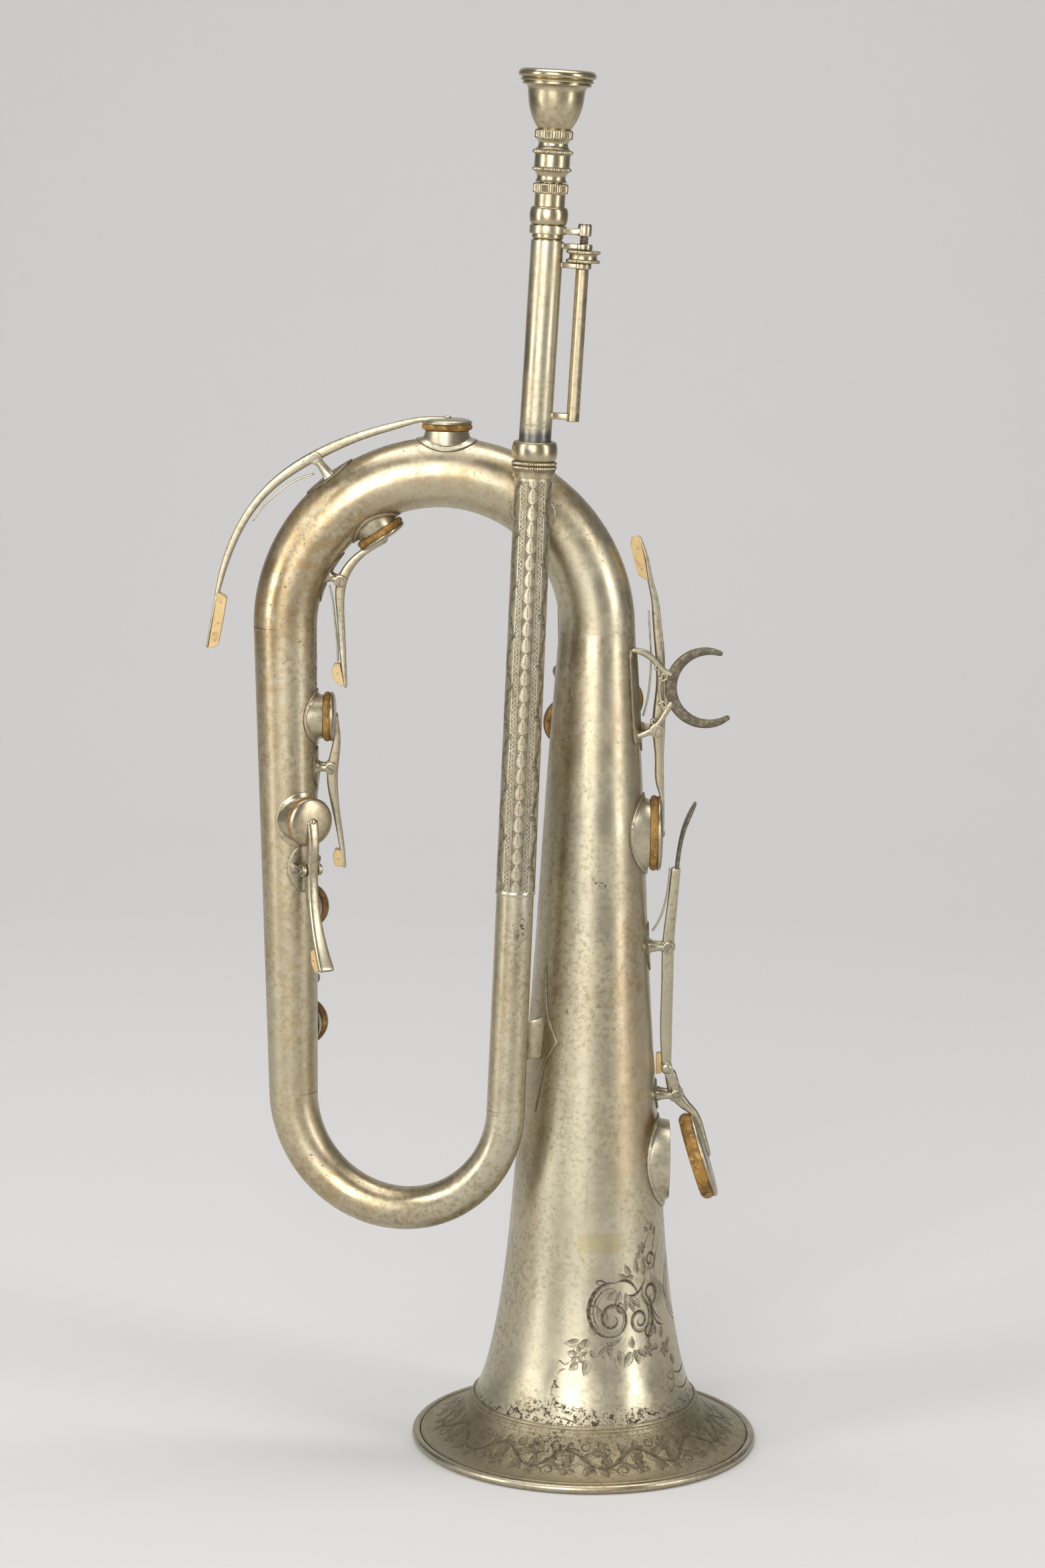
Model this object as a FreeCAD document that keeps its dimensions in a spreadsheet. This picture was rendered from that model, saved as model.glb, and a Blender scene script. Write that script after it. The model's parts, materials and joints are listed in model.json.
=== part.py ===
import FreeCAD, Part
import math
import os
import Sketcher
from FreeCAD import Placement, Rotation, Vector

# Soprano keyed bugle in millimetres.  The origin is the centre of the bell's mouth,
# the bell stands on its rim, +Z runs up the bell's axis, +X is the finger crescent's
# side and -Y is the mouthpipe's side.

doc = FreeCAD.newDocument("KeyedBugle")

SIZES = {
    # bell, garland and rim wire
    "rim_radius": 60.0,
    "wire_radius": 1.5,
    "worn_foot": 0.15,
    "garland_sheet": 0.4,
    "tube_wall": 0.7,
    "bell_top_radius": 12.9,
    # loop
    "bow_level": 285.0,
    "top_bow_radius": 52.8,
    "low_bow_level": 123.5,
    "branch_low_radius": 8.4,
    "branch_top_radius": 10.7,
    # mouthpipe, sleeve and collar
    "pipe_low_radius": 6.5,
    "pipe_top_radius": 5.9,
    "sleeve_sheet": 0.3,
    "collar_radius": 7.55,
    # tuning slide
    "outer_tube_radius": 5.35,
    "inner_tube_radius": 4.7,
    "slide_fit": 0.05,
    "ball_radius": 6.35,
    "knurl_ring_radius": 5.8,
    "clamp_radius": 6.1,
    "clamp_height": 2.8,
    "screw_offset": 12.0,
    "screw_radius": 1.5,
    "wheel_radius": 5.6,
    "wheel_height": 4.0,
    "bracket_thickness": 1.9,
    "guide_radius": 2.3,
    "guide_length": 50.0,
    # mouthpiece
    "cup_rim_radius": 12.8,
    "cup_bore_radius": 8.2,
    "shank_radius": 3.75,
    # keys
    "lever_width": 4.0,
    "pin_radius": 0.9,
    "pin_fit": 0.05,
    "pin_length": 8.6,
    "lug_sheet": 1.5,
    "lug_half_width": 2.1,
    "lug_gap": 0.3,
    "chimney_wall": 0.8,
    "flange_sheet": 0.6,
    "pad_gap": 0.05,
    "spring_width": 3.2,
    # finger crescent and braces
    "crescent_radius": 12.3,
    "crescent_width": 3.4,
    "crescent_sheet": 2.6,
    "arm_width": 2.4,
    "brace_sheet": 1.2,
}

sheet = doc.addObject("Spreadsheet::Sheet", "Dims")
for row, (word, value) in enumerate(SIZES.items(), start=1):
    sheet.set(f"A{row}", word)
    sheet.set(f"B{row}", str(value))
    sheet.setAlias(f"B{row}", word)
doc.recompute()

UP = Vector(0, 0, 1)
NODES = {}


def size(word):
    return float(sheet.get(word))


def dims(text):
    """Turn 'rim_radius - wire_radius' into an expression on the sheet."""
    words = text.split()
    return " ".join("Dims." + word if word in SIZES else word for word in words)


def bind(item, prop, value):
    if isinstance(value, str):
        item.setExpression(prop, dims(value))
    else:
        setattr(item, prop, value)


def node(name, item):
    item.Label = name
    NODES[name] = item
    return item


# ---------------------------------------------------------------- primitives

def placed(origin, direction=UP):
    return Placement(Vector(origin), Rotation(UP, Vector(direction)))


def cylinder(radius, height, origin, direction=UP):
    item = doc.addObject("Part::Cylinder", "Cylinder")
    bind(item, "Radius", radius)
    bind(item, "Height", height)
    item.Placement = placed(origin, direction)
    return item


def cone(low, top, height, origin, direction=UP):
    item = doc.addObject("Part::Cone", "Cone")
    bind(item, "Radius1", low)
    bind(item, "Radius2", top)
    bind(item, "Height", height)
    item.Placement = placed(origin, direction)
    return item


def box(length, width, height, placement):
    """A box that starts at its placement in length and is centred on it otherwise."""
    item = doc.addObject("Part::Box", "Box")
    bind(item, "Length", length)
    bind(item, "Width", width)
    bind(item, "Height", height)
    doc.recompute()
    corner = Vector(0, -float(item.Width) / 2, -float(item.Height) / 2)
    item.Placement = placement.multiply(Placement(corner, Rotation()))
    return item


def fuse(*items):
    item = doc.addObject("Part::MultiFuse", "Fuse")
    item.Shapes = list(items)
    item.Refine = True
    return item


def common(base, tool):
    item = doc.addObject("Part::Common", "Common")
    item.Base = base
    item.Tool = tool
    return item


def cut(base, *tools):
    for tool in tools:
        item = doc.addObject("Part::Cut", "Cut")
        item.Base = base
        item.Tool = tool
        base = item
    return base


def circle(radius, placement):
    item = doc.addObject("Part::Circle", "Circle")
    bind(item, "Radius", radius)
    item.Placement = placement
    return item


def conical_bow(spine, first, last):
    """A solid swept along an arc while its circle grows from first to last."""
    item = doc.addObject("Part::Sweep", "Bow")
    item.Sections = [first, last]
    item.Spine = (spine, ["Edge1"])
    item.Solid = True
    item.Frenet = True
    return item


# ------------------------------------------------------------ sketched pieces

def sketch_in(body, name):
    """A sketch in the body's own XZ plane."""
    plane = next(p for p in body.Origin.OriginFeatures if p.Role == "XZ_Plane")
    sketch = body.newObject("Sketcher::SketchObject", name)
    sketch.AttachmentSupport = [(plane, "")]
    sketch.MapMode = "FlatFace"
    return sketch


def spline(points):
    curve = Part.BSplineCurve()
    curve.interpolate([Vector(x, y, 0) for x, y in points])
    return curve


def offset(points, distance):
    """Move a line of points sideways, to the left of its direction, by distance."""
    moved = []
    for index, (x, y) in enumerate(points):
        before = points[max(index - 1, 0)]
        after = points[min(index + 1, len(points) - 1)]
        run = math.hypot(after[0] - before[0], after[1] - before[1])
        reach = distance[index] if isinstance(distance, list) else distance
        moved.append((x - (after[1] - before[1]) / run * reach,
                      y + (after[0] - before[0]) / run * reach))
    return moved


def closed_outline(sketch, stretches):
    """Add stretches of points as splines (three or more points) or lines."""
    for stretch in stretches:
        if len(stretch) > 2:
            sketch.addGeometry(spline(stretch))
        else:
            first, last = [Vector(x, y, 0) for x, y in stretch]
            sketch.addGeometry(Part.LineSegment(first, last))


def polygon(points):
    return [[points[i - 1], points[i]] for i in range(len(points))]


def turned(name, stretches, placement=Placement()):
    """A body turned about its own Z axis from an outline of (radius, height)."""
    body = doc.addObject("PartDesign::Body", name)
    sketch = sketch_in(body, "Profile")
    closed_outline(sketch, stretches)
    turn = body.newObject("PartDesign::Revolution", "Turned")
    turn.Profile = sketch
    turn.ReferenceAxis = (sketch, ["V_Axis"])
    turn.Angle = 360
    sketch.Visibility = False
    body.Placement = placement
    return body


def flat_piece(name, stretches, width, placement=Placement()):
    """A body padded both ways from an outline in its own XZ plane."""
    body = doc.addObject("PartDesign::Body", name)
    sketch = sketch_in(body, "Outline")
    closed_outline(sketch, stretches)
    pad = body.newObject("PartDesign::Pad", "Plate")
    pad.Profile = sketch
    pad.Midplane = True
    bind(pad, "Length", width)
    body.Placement = placement
    return body


def ribbon(path, thickness):
    """The outline of a bar of the given thickness along a path."""
    if not isinstance(thickness, list):
        thickness = [thickness] * len(path)
    left = offset(path, [t / 2 for t in thickness])
    right = offset(path, [-t / 2 for t in thickness])
    right.reverse()
    return [left, [left[-1], right[0]], right, [right[-1], left[0]]]


# ------------------------------------------------------------------ main tubes

WALL = size("tube_wall")
BELL_TOP = size("bow_level")

# Outer radius of the bell at heights above the rim: a slow cone, then the flare.
BELL_CONE = [(12.9, 285.0), (14.3, 265.0), (16.4, 232.7), (18.0, 203.7), (19.9, 168.7),
             (22.4, 133.4), (25.3, 97.8), (28.4, 61.7), (30.9, 43.6), (33.2, 31.7)]
BELL_FLARE = [(33.2, 31.7), (36.0, 21.8), (39.6, 14.4), (43.4, 9.7), (48.0, 6.0),
              (52.8, 3.5), (56.9, 2.2)]


def bell_line(growth):
    """The bell's outer face moved outwards by growth, level at its top end."""
    line = BELL_CONE + BELL_FLARE[1:]
    return [(line[0][0] + growth, line[0][1])] + offset(line, growth)[1:]


def bell_outline(growth, depth):
    """The bell's outline between its outer face moved by growth and by -depth."""
    outer = bell_line(growth)
    inner = bell_line(-depth)
    inner.reverse()
    return [outer, [outer[-1], inner[0]], inner, [inner[-1], outer[0]]]


def bell_plug(growth):
    """The solid inside the bell's outer face moved by growth, above the flare's edge."""
    outer = bell_line(growth)
    low, top = (0, outer[-1][1]), (0, outer[0][1])
    return turned("BellPlug", [outer, [outer[-1], low], [low, top], [top, outer[0]]])


TOP_R = size("top_bow_radius")
BRANCH_TOP = Vector(-2 * TOP_R, 0, BELL_TOP)
BRANCH_LOW = Vector(-102.2, 0, size("low_bow_level"))
PIPE_Y = -22.0
PIPE_LOW = Vector(-28.7, PIPE_Y, size("low_bow_level"))
PIPE_TOP = Vector(-22.2, PIPE_Y, 342.0)
BRANCH_AXIS = BRANCH_TOP - BRANCH_LOW
PIPE_AXIS = PIPE_TOP - PIPE_LOW


def left_branch(growth):
    text = f" + {growth}"
    return cone("branch_low_radius" + text, "branch_top_radius" + text,
                BRANCH_AXIS.Length, BRANCH_LOW, BRANCH_AXIS)


def top_bow(growth):
    spine = circle("top_bow_radius", Placement(Vector(-TOP_R, 0, BELL_TOP),
                                               Rotation(Vector(1, 0, 0), 90)))
    spine.Angle1 = 0
    spine.Angle2 = 180
    first = circle(f"bell_top_radius + {growth}", placed((0, 0, BELL_TOP)))
    last = circle(f"branch_top_radius + {growth}", placed(BRANCH_TOP))
    return conical_bow(spine, first, last)


def low_bow(growth):
    middle = (BRANCH_LOW + PIPE_LOW) * 0.5
    across = PIPE_LOW - BRANCH_LOW
    turn = math.degrees(math.atan2(across.y, across.x))
    stand = Placement(middle, Rotation(UP, turn)).multiply(
        Placement(Vector(), Rotation(Vector(1, 0, 0), 90)))
    spine = circle(across.Length / 2, stand)
    spine.Angle1 = 180
    spine.Angle2 = 360
    first = circle(f"branch_low_radius + {growth}", placed(BRANCH_LOW))
    last = circle(f"pipe_low_radius + {growth}", placed(PIPE_LOW))
    return conical_bow(spine, first, last)


def mouthpipe(growth):
    text = f" + {growth}"
    return cone("pipe_low_radius" + text, "pipe_top_radius" + text,
                PIPE_AXIS.Length, PIPE_LOW, PIPE_AXIS)


# The tubes that carry keys: solid, their bores, the seats of soldered plates a hair
# outside them, and grown by a flange's thickness.
SKIN_GAP = 0.02
KEYED = {"top_bow": top_bow, "left_branch": left_branch, "bell": bell_plug}
SOLID = {tube: build(0) for tube, build in KEYED.items()}
BORE = {tube: build(-WALL) for tube, build in KEYED.items()}
SEAT = {tube: build(SKIN_GAP) for tube, build in KEYED.items()}
GROWN = {tube: build(size("flange_sheet")) for tube, build in KEYED.items()}

# ------------------------------------------------------------------------ keys

# Each key lies in an upright plane through a tube's axis: stand is that axis, turn
# the plane's bearing.  Its points are (out from the stand, height).  The hole's
# aim is the angle of its axis above level, depth the distance from its mouth to the
# tube's axis.  The path runs from the cup over the pivot to the finger end.
KEYS = {
    "key_1": {
        "tube": "top_bow", "stand": (0, 0), "turn": 0,
        "mouth": (-51.5, 352.0), "aim": 90, "depth": 14.2,
        "pad": 8.2, "chimney": 7.4, "flange": 10.2, "pad_height": 2.4,
        "pivot": (-95.6, 342.2), "lug_aim": 127, "lug_length": 10,
        "path": [(-52.0, 355.7), (-60.2, 355.4), (-66.5, 354.0), (-78.3, 350.5),
                 (-96.2, 342.6), (-111.6, 331.4), (-122.6, 315.1), (-129.3, 294.6)],
        "thickness": [1.4, 1.6, 2.4, 2.9, 3.6, 2.9, 2.8, 2.0], "foot": (9.6, 5.4),
    },
    "key_2": {
        "tube": "top_bow", "stand": (0, 0), "turn": 0,
        "mouth": (-74.5, 318.2), "aim": -56.8, "depth": 13.2,
        "pad": 8.4, "chimney": 7.2, "flange": 9.6, "pad_height": 2.4,
        "pivot": (-87.0, 300.9), "lug_aim": -20, "lug_length": 9,
        "path": [(-72.2, 314.6), (-79.9, 310.0), (-86.4, 301.0), (-87.4, 290.0),
                 (-86.8, 278.0), (-85.4, 265.6)],
        "thickness": [2.0, 2.6, 3.6, 2.8, 2.6, 2.2], "foot": (9.4, 4.6),
    },
    "key_3": {
        "tube": "left_branch", "stand": (-104.9, 0), "turn": 0,
        "mouth": (12.4, 254.2), "aim": 0, "depth": 12.4,
        "pad": 8.2, "chimney": 7.5, "flange": 9.7, "pad_height": 2.6,
        "pivot": (15.0, 236.9), "lug_aim": 0, "lug_length": 8,
        "path": [(16.3, 254.2), (16.9, 246.0), (15.6, 237.0), (16.2, 222.0),
                 (19.3, 202.6)],
        "thickness": [2.0, 2.6, 3.8, 2.8, 2.0], "foot": (7.2, 5.0),
    },
    "key_4": {
        "tube": "left_branch", "stand": (-104.2, 0), "turn": -57,
        "mouth": (12.2, 219.9), "aim": 0, "depth": 12.2,
        "pad": 8.0, "chimney": 7.3, "flange": 9.6, "pad_height": 2.6,
        "pivot": (15.0, 203.4), "lug_aim": 0, "lug_length": 8,
        "path": [(16.1, 219.9), (16.8, 212.0), (15.6, 203.4), (17.4, 190.0),
                 (21.6, 178.5), (26.0, 171.0)],
        "thickness": [2.0, 2.6, 3.8, 2.8, 2.4, 2.0], "foot": (8.6, 5.2),
    },
    "key_5": {
        "tube": "left_branch", "stand": (-102.9, 0), "turn": 73,
        "mouth": (11.3, 145.2), "aim": 0, "depth": 11.3,
        "pad": 8.0, "chimney": 7.2, "flange": 9.2, "pad_height": 2.6,
        "pivot": (14.2, 160.4), "lug_aim": 0, "lug_length": 8,
        "path": [(15.2, 145.2), (15.9, 153.0), (14.8, 160.4), (16.4, 167.0),
                 (20.4, 173.6)],
        "thickness": [2.0, 2.6, 3.8, 2.8, 2.0], "foot": (6.4, 4.6),
    },
    "key_6": {
        "tube": "bell", "stand": (0, 0), "turn": 0,
        "mouth": (19.1, 215.4), "aim": 0, "depth": 19.1,
        "pad": 12.6, "chimney": 11.7, "flange": 14.1, "pad_height": 2.8,
        "pivot": (20.6, 251.8), "lug_aim": 0, "lug_length": 9,
        "path": [(23.5, 216.0), (23.4, 224.0), (23.1, 228.4), (22.4, 232.5), (22.2, 241.0),
                 (21.8, 252.0), (22.6, 266.0), (22.4, 279.0), (20.8, 291.0),
                 (17.6, 305.0), (13.4, 317.0)],
        "thickness": [1.2, 1.4, 1.6, 2.8, 3.0, 4.6, 3.1, 3.1, 3.0, 2.6, 2.2],
        "foot": (8.0, 4.3),
    },
    "key_8": {
        "tube": "bell", "stand": (0, 0), "turn": 62,
        "mouth": (17.4, 259.0), "aim": 0, "depth": 17.4,
        "pad": 7.8, "chimney": 7.0, "flange": 9.0, "pad_height": 2.6,
        "pivot": (20.0, 242.0), "lug_aim": 0, "lug_length": 8,
        "path": [(21.3, 259.0), (21.9, 251.0), (20.8, 242.0), (22.6, 226.0),
                 (25.6, 206.0)],
        "thickness": [2.0, 2.6, 3.8, 2.8, 2.0], "foot": (6.8, 4.8),
    },
    "key_9": {
        "tube": "bell", "stand": (0, 0), "turn": 122,
        "mouth": (17.7, 251.0), "aim": 0, "depth": 17.7,
        "pad": 7.8, "chimney": 7.0, "flange": 9.0, "pad_height": 2.6,
        "pivot": (19.8, 268.5), "lug_aim": 0, "lug_length": 8,
        "path": [(21.6, 251.0), (22.0, 259.0), (20.6, 268.5), (20.8, 284.0),
                 (22.4, 304.0)],
        "thickness": [2.0, 2.6, 3.8, 2.8, 2.0], "foot": (6.8, 4.8),
    },
    "key_10": {
        "tube": "left_branch", "stand": (-103.6, 0), "turn": 70,
        "mouth": (11.9, 186.0), "aim": 0, "depth": 11.9,
        "pad": 8.0, "chimney": 7.2, "flange": 9.3, "pad_height": 2.6,
        "pivot": (14.6, 202.4), "lug_aim": 0, "lug_length": 8,
        "path": [(15.8, 186.0), (16.4, 194.0), (15.2, 202.4), (16.6, 217.0),
                 (19.8, 233.0)],
        "thickness": [2.0, 2.6, 3.8, 2.8, 2.0], "foot": (6.8, 4.8),
    },
}

# The bell key stands open.  Its touch lever turns at the upper pivot and pushes a
# second lever, which carries the cup and turns at the lower pivot.
BELL_KEY = {
    "tube": "bell", "stand": (0, 0), "turn": 0,
    "mouth": (28.0, 100.6), "aim": 0, "depth": 28.0,
    "pad": 15.0, "chimney": 13.7, "flange": 16.3, "pad_height": 4.6,
    "open": 18.0,
    "touch_pivot": (26.2, 176.1), "cup_pivot": (30.0, 124.0),
    "touch_foot": (8.6, 5.4), "cup_foot": (5.3, 5.0),
    "link": (26.5, 133.6),
    "cup_path": [(30.1, 131.0), (30.0, 124.0), (31.9, 119.2), (34.0, 115.6), (34.6, 108.0),
                 (34.6, 100.6)],
    "cup_thickness": [4.0, 4.4, 3.4, 2.4, 2.2, 1.6],
    "touch_path": [(26.5, 134.6), (26.2, 150.0), (26.1, 163.0), (26.2, 176.1),
                   (27.3, 190.0), (28.5, 203.0), (29.4, 212.0), (31.2, 220.5),
                   (34.6, 227.6)],
    "touch_thickness": [3.4, 4.2, 4.2, 4.2, 3.6, 3.0, 2.4, 2.2, 1.6],
}


def key_frame(key):
    return Placement(Vector(key["stand"][0], key["stand"][1], 0), Rotation(UP, key["turn"]))


def point_of(key, flat, side=0.0):
    return key_frame(key).multVec(Vector(flat[0], side, flat[1]))


def heading(key, angle):
    aim = math.radians(angle)
    return key_frame(key).Rotation.multVec(Vector(math.cos(aim), 0, math.sin(aim)))


def side_of(key):
    return key_frame(key).Rotation.multVec(Vector(0, 1, 0))


def hole_cylinder(key, radius, depth, rise=0.0):
    """A cylinder on the hole's axis, from depth inside to rise above its mouth."""
    aim = heading(key, key["aim"])
    return cylinder(radius, depth + rise, point_of(key, key["mouth"]) - aim * depth, aim)


def chimney(key):
    """A tone hole's raised chimney with its flange, which follows the tube."""
    tube = key["tube"]
    ring = cut(hole_cylinder(key, key["chimney"], key["depth"]),
               hole_cylinder(key, f"{key['chimney']} - chimney_wall", key["depth"], 1.0),
               BORE[tube])
    skirt = common(GROWN[tube], hole_cylinder(key, key["flange"], key["depth"]))
    flange = cut(skirt, SOLID[tube], hole_cylinder(key, key["chimney"], key["depth"], 1.0))
    return fuse(ring, flange)


def foot_plate(key, pivot, aim, radii):
    """An oval plate soldered on the tube under a saddle."""
    rim = doc.addObject("Part::Ellipse", "Oval")
    rim.MajorRadius = radii[0]
    rim.MinorRadius = radii[1]
    along = heading(key, aim + 90)
    across = side_of(key)
    outward = heading(key, aim)
    start = point_of(key, pivot) - outward * 14
    rim.Placement = Placement(start, Rotation(along, across, outward, "XYZ"))
    prism = doc.addObject("Part::Extrusion", "Prism")
    prism.Base = rim
    prism.DirMode = "Custom"
    prism.Dir = outward
    prism.LengthFwd = 16
    prism.Solid = True
    return cut(common(GROWN[key["tube"]], prism), SEAT[key["tube"]])


def lug(key, pivot, aim, length, side):
    """One upright of a saddle: a flat with a round head, drilled for the pin."""
    middle = size("lever_width") / 2 + size("lug_gap") + size("lug_sheet") / 2
    head = point_of(key, pivot, side * middle)
    outward = heading(key, aim)
    across = side_of(key)
    lie = Placement(head - outward * length, Rotation(outward, across, Vector(), "XYZ"))
    stem = box(length, "lug_sheet", "2 * lug_half_width", lie)
    cap = cylinder("lug_half_width", "lug_sheet",
                   head - across * (size("lug_sheet") / 2), across)
    bore = cylinder("pin_radius", "lug_sheet + 2",
                    head - across * (size("lug_sheet") / 2 + 1), across)
    return cut(fuse(stem, cap), bore, SEAT[key["tube"]])


def saddle(key, pivot, aim, length, radii):
    plate = foot_plate(key, pivot, aim, radii)
    return fuse(plate, lug(key, pivot, aim, length, -1), lug(key, pivot, aim, length, 1))


def hinge_pin(key, pivot):
    """The hinge screw: a shank with a flat head on the -Y side of its key."""
    across = side_of(key)
    reach = size("pin_length") / 2
    start = point_of(key, pivot) - across * reach
    shank = cylinder("pin_radius", "pin_length", start, across)
    middle = size("lever_width") / 2 + size("lug_gap") + size("lug_sheet")
    head = cylinder("pin_radius + 0.5", 0.8, point_of(key, pivot) - across * (middle + 0.8),
                    across)
    return fuse(shank, head)


def cup_outline(key, mouth, aim, radius, height):
    """A shallow dished cup over the pad, as half its section about the hole's axis."""
    base = height + size("pad_gap")
    profile = [(base, 0), (base, radius + 0.2), (base + 0.9, radius + 0.2),
               (base + 1.5, radius - 1.4), (base + 1.8, 0)]
    out = (math.cos(math.radians(aim)), math.sin(math.radians(aim)))
    side = (-out[1], out[0])
    return [(mouth[0] + a * out[0] + r * side[0], mouth[1] + a * out[1] + r * side[1])
            for a, r in profile]


def lever(name, key, path, thickness, pivot, cup=None, width="lever_width"):
    """A lever bar with its hinge hole and, where given, its cup at (mouth, aim)."""
    body = flat_piece(name, ribbon(path, thickness), width)
    if cup:
        points = cup_outline(key, *cup)
        sketch = sketch_in(body, "CupSection")
        axis = sketch.addGeometry(Part.LineSegment(Vector(*points[0], 0),
                                                   Vector(*points[-1], 0)))
        sketch.toggleConstruction(axis)
        closed_outline(sketch, polygon(points))
        dish = body.newObject("PartDesign::Revolution", "Cup")
        dish.Profile = sketch
        dish.ReferenceAxis = (sketch, ["Axis0"])
        dish.Angle = 360
    hinge = sketch_in(body, "HingeHole")
    hinge.addGeometry(Part.Circle(Vector(*pivot, 0), UP, size("pin_radius")))
    hinge.addConstraint(Sketcher.Constraint("Radius", 0, size("pin_radius")))
    hinge.setExpression("Constraints[0]", dims("pin_radius + pin_fit"))
    drill = body.newObject("PartDesign::Pocket", "Drilled")
    drill.Profile = hinge
    drill.Midplane = True
    drill.Length = 40
    body.Placement = key_frame(key)
    return body


def key_pad(key, placement):
    """The leather pad: a disc that closes the chimney with a hair's gap."""
    aim = math.radians(key["aim"])
    out = Vector(math.cos(aim), 0, math.sin(aim))
    seat = Vector(key["mouth"][0], 0, key["mouth"][1]) + out * size("pad_gap")
    disc = cylinder(key["pad"], f"{key['pad_height']} - pad_gap", seat, out)
    disc.Placement = placement.multiply(disc.Placement)
    return disc


def slab(key, start, end, thickness, width):
    """A flat block in the key's plane, from start to end."""
    run = heading(key, math.degrees(math.atan2(end[1] - start[1], end[0] - start[0])))
    lie = Placement(point_of(key, start), Rotation(run, side_of(key), Vector(), "XYZ"))
    return box(math.dist(start, end), width, thickness, lie)


def leaf_spring(name, key, path):
    return flat_piece(name, ribbon(path, 0.5), "spring_width", key_frame(key))


# --------------------------------------------------------------- tubes as nodes

ALL_KEYS = dict(KEYS, bell_key=BELL_KEY)


def drilled(tube, shell):
    """The tube's shell with a hole for the chimney of each key it carries."""
    drills = [hole_cylinder(key, key["chimney"], key["depth"], 4.0)
              for key in ALL_KEYS.values() if key["tube"] == tube]
    return cut(shell, fuse(*drills))


node("bell", drilled("bell", turned("BellShell", bell_outline(0, WALL))))
node("left_branch", drilled("left_branch", cut(SOLID["left_branch"], BORE["left_branch"])))
node("top_bow", drilled("top_bow", cut(SOLID["top_bow"], BORE["top_bow"])))
node("bottom_bow", cut(low_bow(0), low_bow(-WALL), SOLID["left_branch"], mouthpipe(0)))
node("mouthpipe", cut(mouthpipe(0), mouthpipe(-WALL)))

skin_out = offset(BELL_FLARE, size("garland_sheet") + SKIN_GAP)[2:]
skin_in = offset(BELL_FLARE, SKIN_GAP)[2:]
skin_in.reverse()
node("garland", turned("GarlandSheet", [skin_out, [skin_out[-1], skin_in[0]], skin_in,
                                        [skin_in[-1], skin_out[0]]]))

# The rolled wire is worn flat where the instrument stands on it.
rim = doc.addObject("Part::Torus", "RimWire")
bind(rim, "Radius1", "rim_radius - wire_radius")
bind(rim, "Radius2", "wire_radius")
bind(rim, "Placement.Base.z", "wire_radius - worn_foot")
node("rim_wire", cut(rim, cylinder("rim_radius + 5", 5, (0, 0, -5))))

# ------------------------------------------------------------ sleeve and collar

PIPE_RUN = PIPE_AXIS * (1 / PIPE_AXIS.Length)
SLEEVE_LENGTH = 140.4
COLLAR_DROP = 3.4
PIPE_GROWTH = (size("pipe_low_radius") - size("pipe_top_radius")) / PIPE_AXIS.Length
sleeve_low = PIPE_TOP - PIPE_RUN * (COLLAR_DROP + SLEEVE_LENGTH)
sleeve_grown = PIPE_GROWTH * (COLLAR_DROP + SLEEVE_LENGTH)
sleeve = cone(f"pipe_top_radius + {sleeve_grown} + sleeve_sheet",
              f"pipe_top_radius + {PIPE_GROWTH * COLLAR_DROP} + sleeve_sheet",
              SLEEVE_LENGTH, sleeve_low, PIPE_AXIS)
node("engraved_sleeve", cut(sleeve, mouthpipe(0)))

BALL = size("collar_radius")
BORE_TOP = size("outer_tube_radius") + 0.2
BORE_LOW = size("pipe_top_radius") + 0.05
collar = [(BORE_TOP, 8.6), (6.3, 8.6), (7.3, 7.0), (BALL, 5.3), (7.3, 3.6), (6.5, 2.2)]
collar_rings = [(6.5, 2.2), (7.2, 2.1), (BALL, 1.4), (7.2, 0.8), (7.2, 0.6), (BALL, 0.0),
                (7.2, -0.6), (7.1, -0.9), (6.8, -3.4), (BORE_LOW, -3.4), (BORE_LOW, 0.2),
                (BORE_TOP, 0.8), (BORE_TOP, 8.6)]
collar_lines = [[collar[0], collar[1]], collar[1:]]
collar_lines += [[a, b] for a, b in zip(collar_rings, collar_rings[1:])]
node("receiver_collar", turned("Collar", collar_lines, placed(PIPE_TOP, PIPE_AXIS)))

# --------------------------------------------------------------- tuning slide

# Its own frame: Z up the tuning tubes, X towards the screw, heights from the collar.
SLIDE_RUN = Vector(0.048, 0, 1)
SLIDE = placed((-22.05, PIPE_Y, 350.0), SLIDE_RUN)
SCREW = size("screw_offset")
SCREW_AT = SLIDE.multiply(Placement(Vector(SCREW, 0, 0), Rotation()))


def along_slide(height, side=0.0):
    return SLIDE.multVec(Vector(side, 0, height))


TUBE_FOOT, TUBE_HEAD = -3.6, 66.4
outer_tube = cylinder("outer_tube_radius", TUBE_HEAD - TUBE_FOOT, along_slide(TUBE_FOOT),
                      SLIDE_RUN)
slide_bore = cylinder("inner_tube_radius + slide_fit", 90, along_slide(-10), SLIDE_RUN)
node("tuning_outer_tube", cut(outer_tube, slide_bore))

WALL_IN = size("inner_tube_radius") - 0.6
SHANK = size("shank_radius") + 0.05
BIT = size("ball_radius")
KNURL = size("knurl_ring_radius")
inner_profile = [(WALL_IN, 8.6), (size("inner_tube_radius"), 8.6),
                 (size("inner_tube_radius"), 66.7), (5.2, 67.2), (5.2, 71.3)]
ball_arc = [(5.2, 71.3), (6.1, 72.6), (BIT, 74.3), (6.1, 76.0), (5.0, 77.3)]
top_profile = [(5.0, 77.3), (5.0, 81.4), (KNURL, 81.7), (KNURL, 84.6), (5.3, 84.9),
               (SHANK, 84.9), (SHANK, 66.0), (WALL_IN, 65.0), (WALL_IN, 8.6)]
inner_lines = [[a, b] for a, b in zip(inner_profile, inner_profile[1:])] + [ball_arc]
inner_lines += [[a, b] for a, b in zip(top_profile, top_profile[1:])]
node("tuning_inner_tube", turned("InnerTube", inner_lines, SLIDE))

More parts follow.
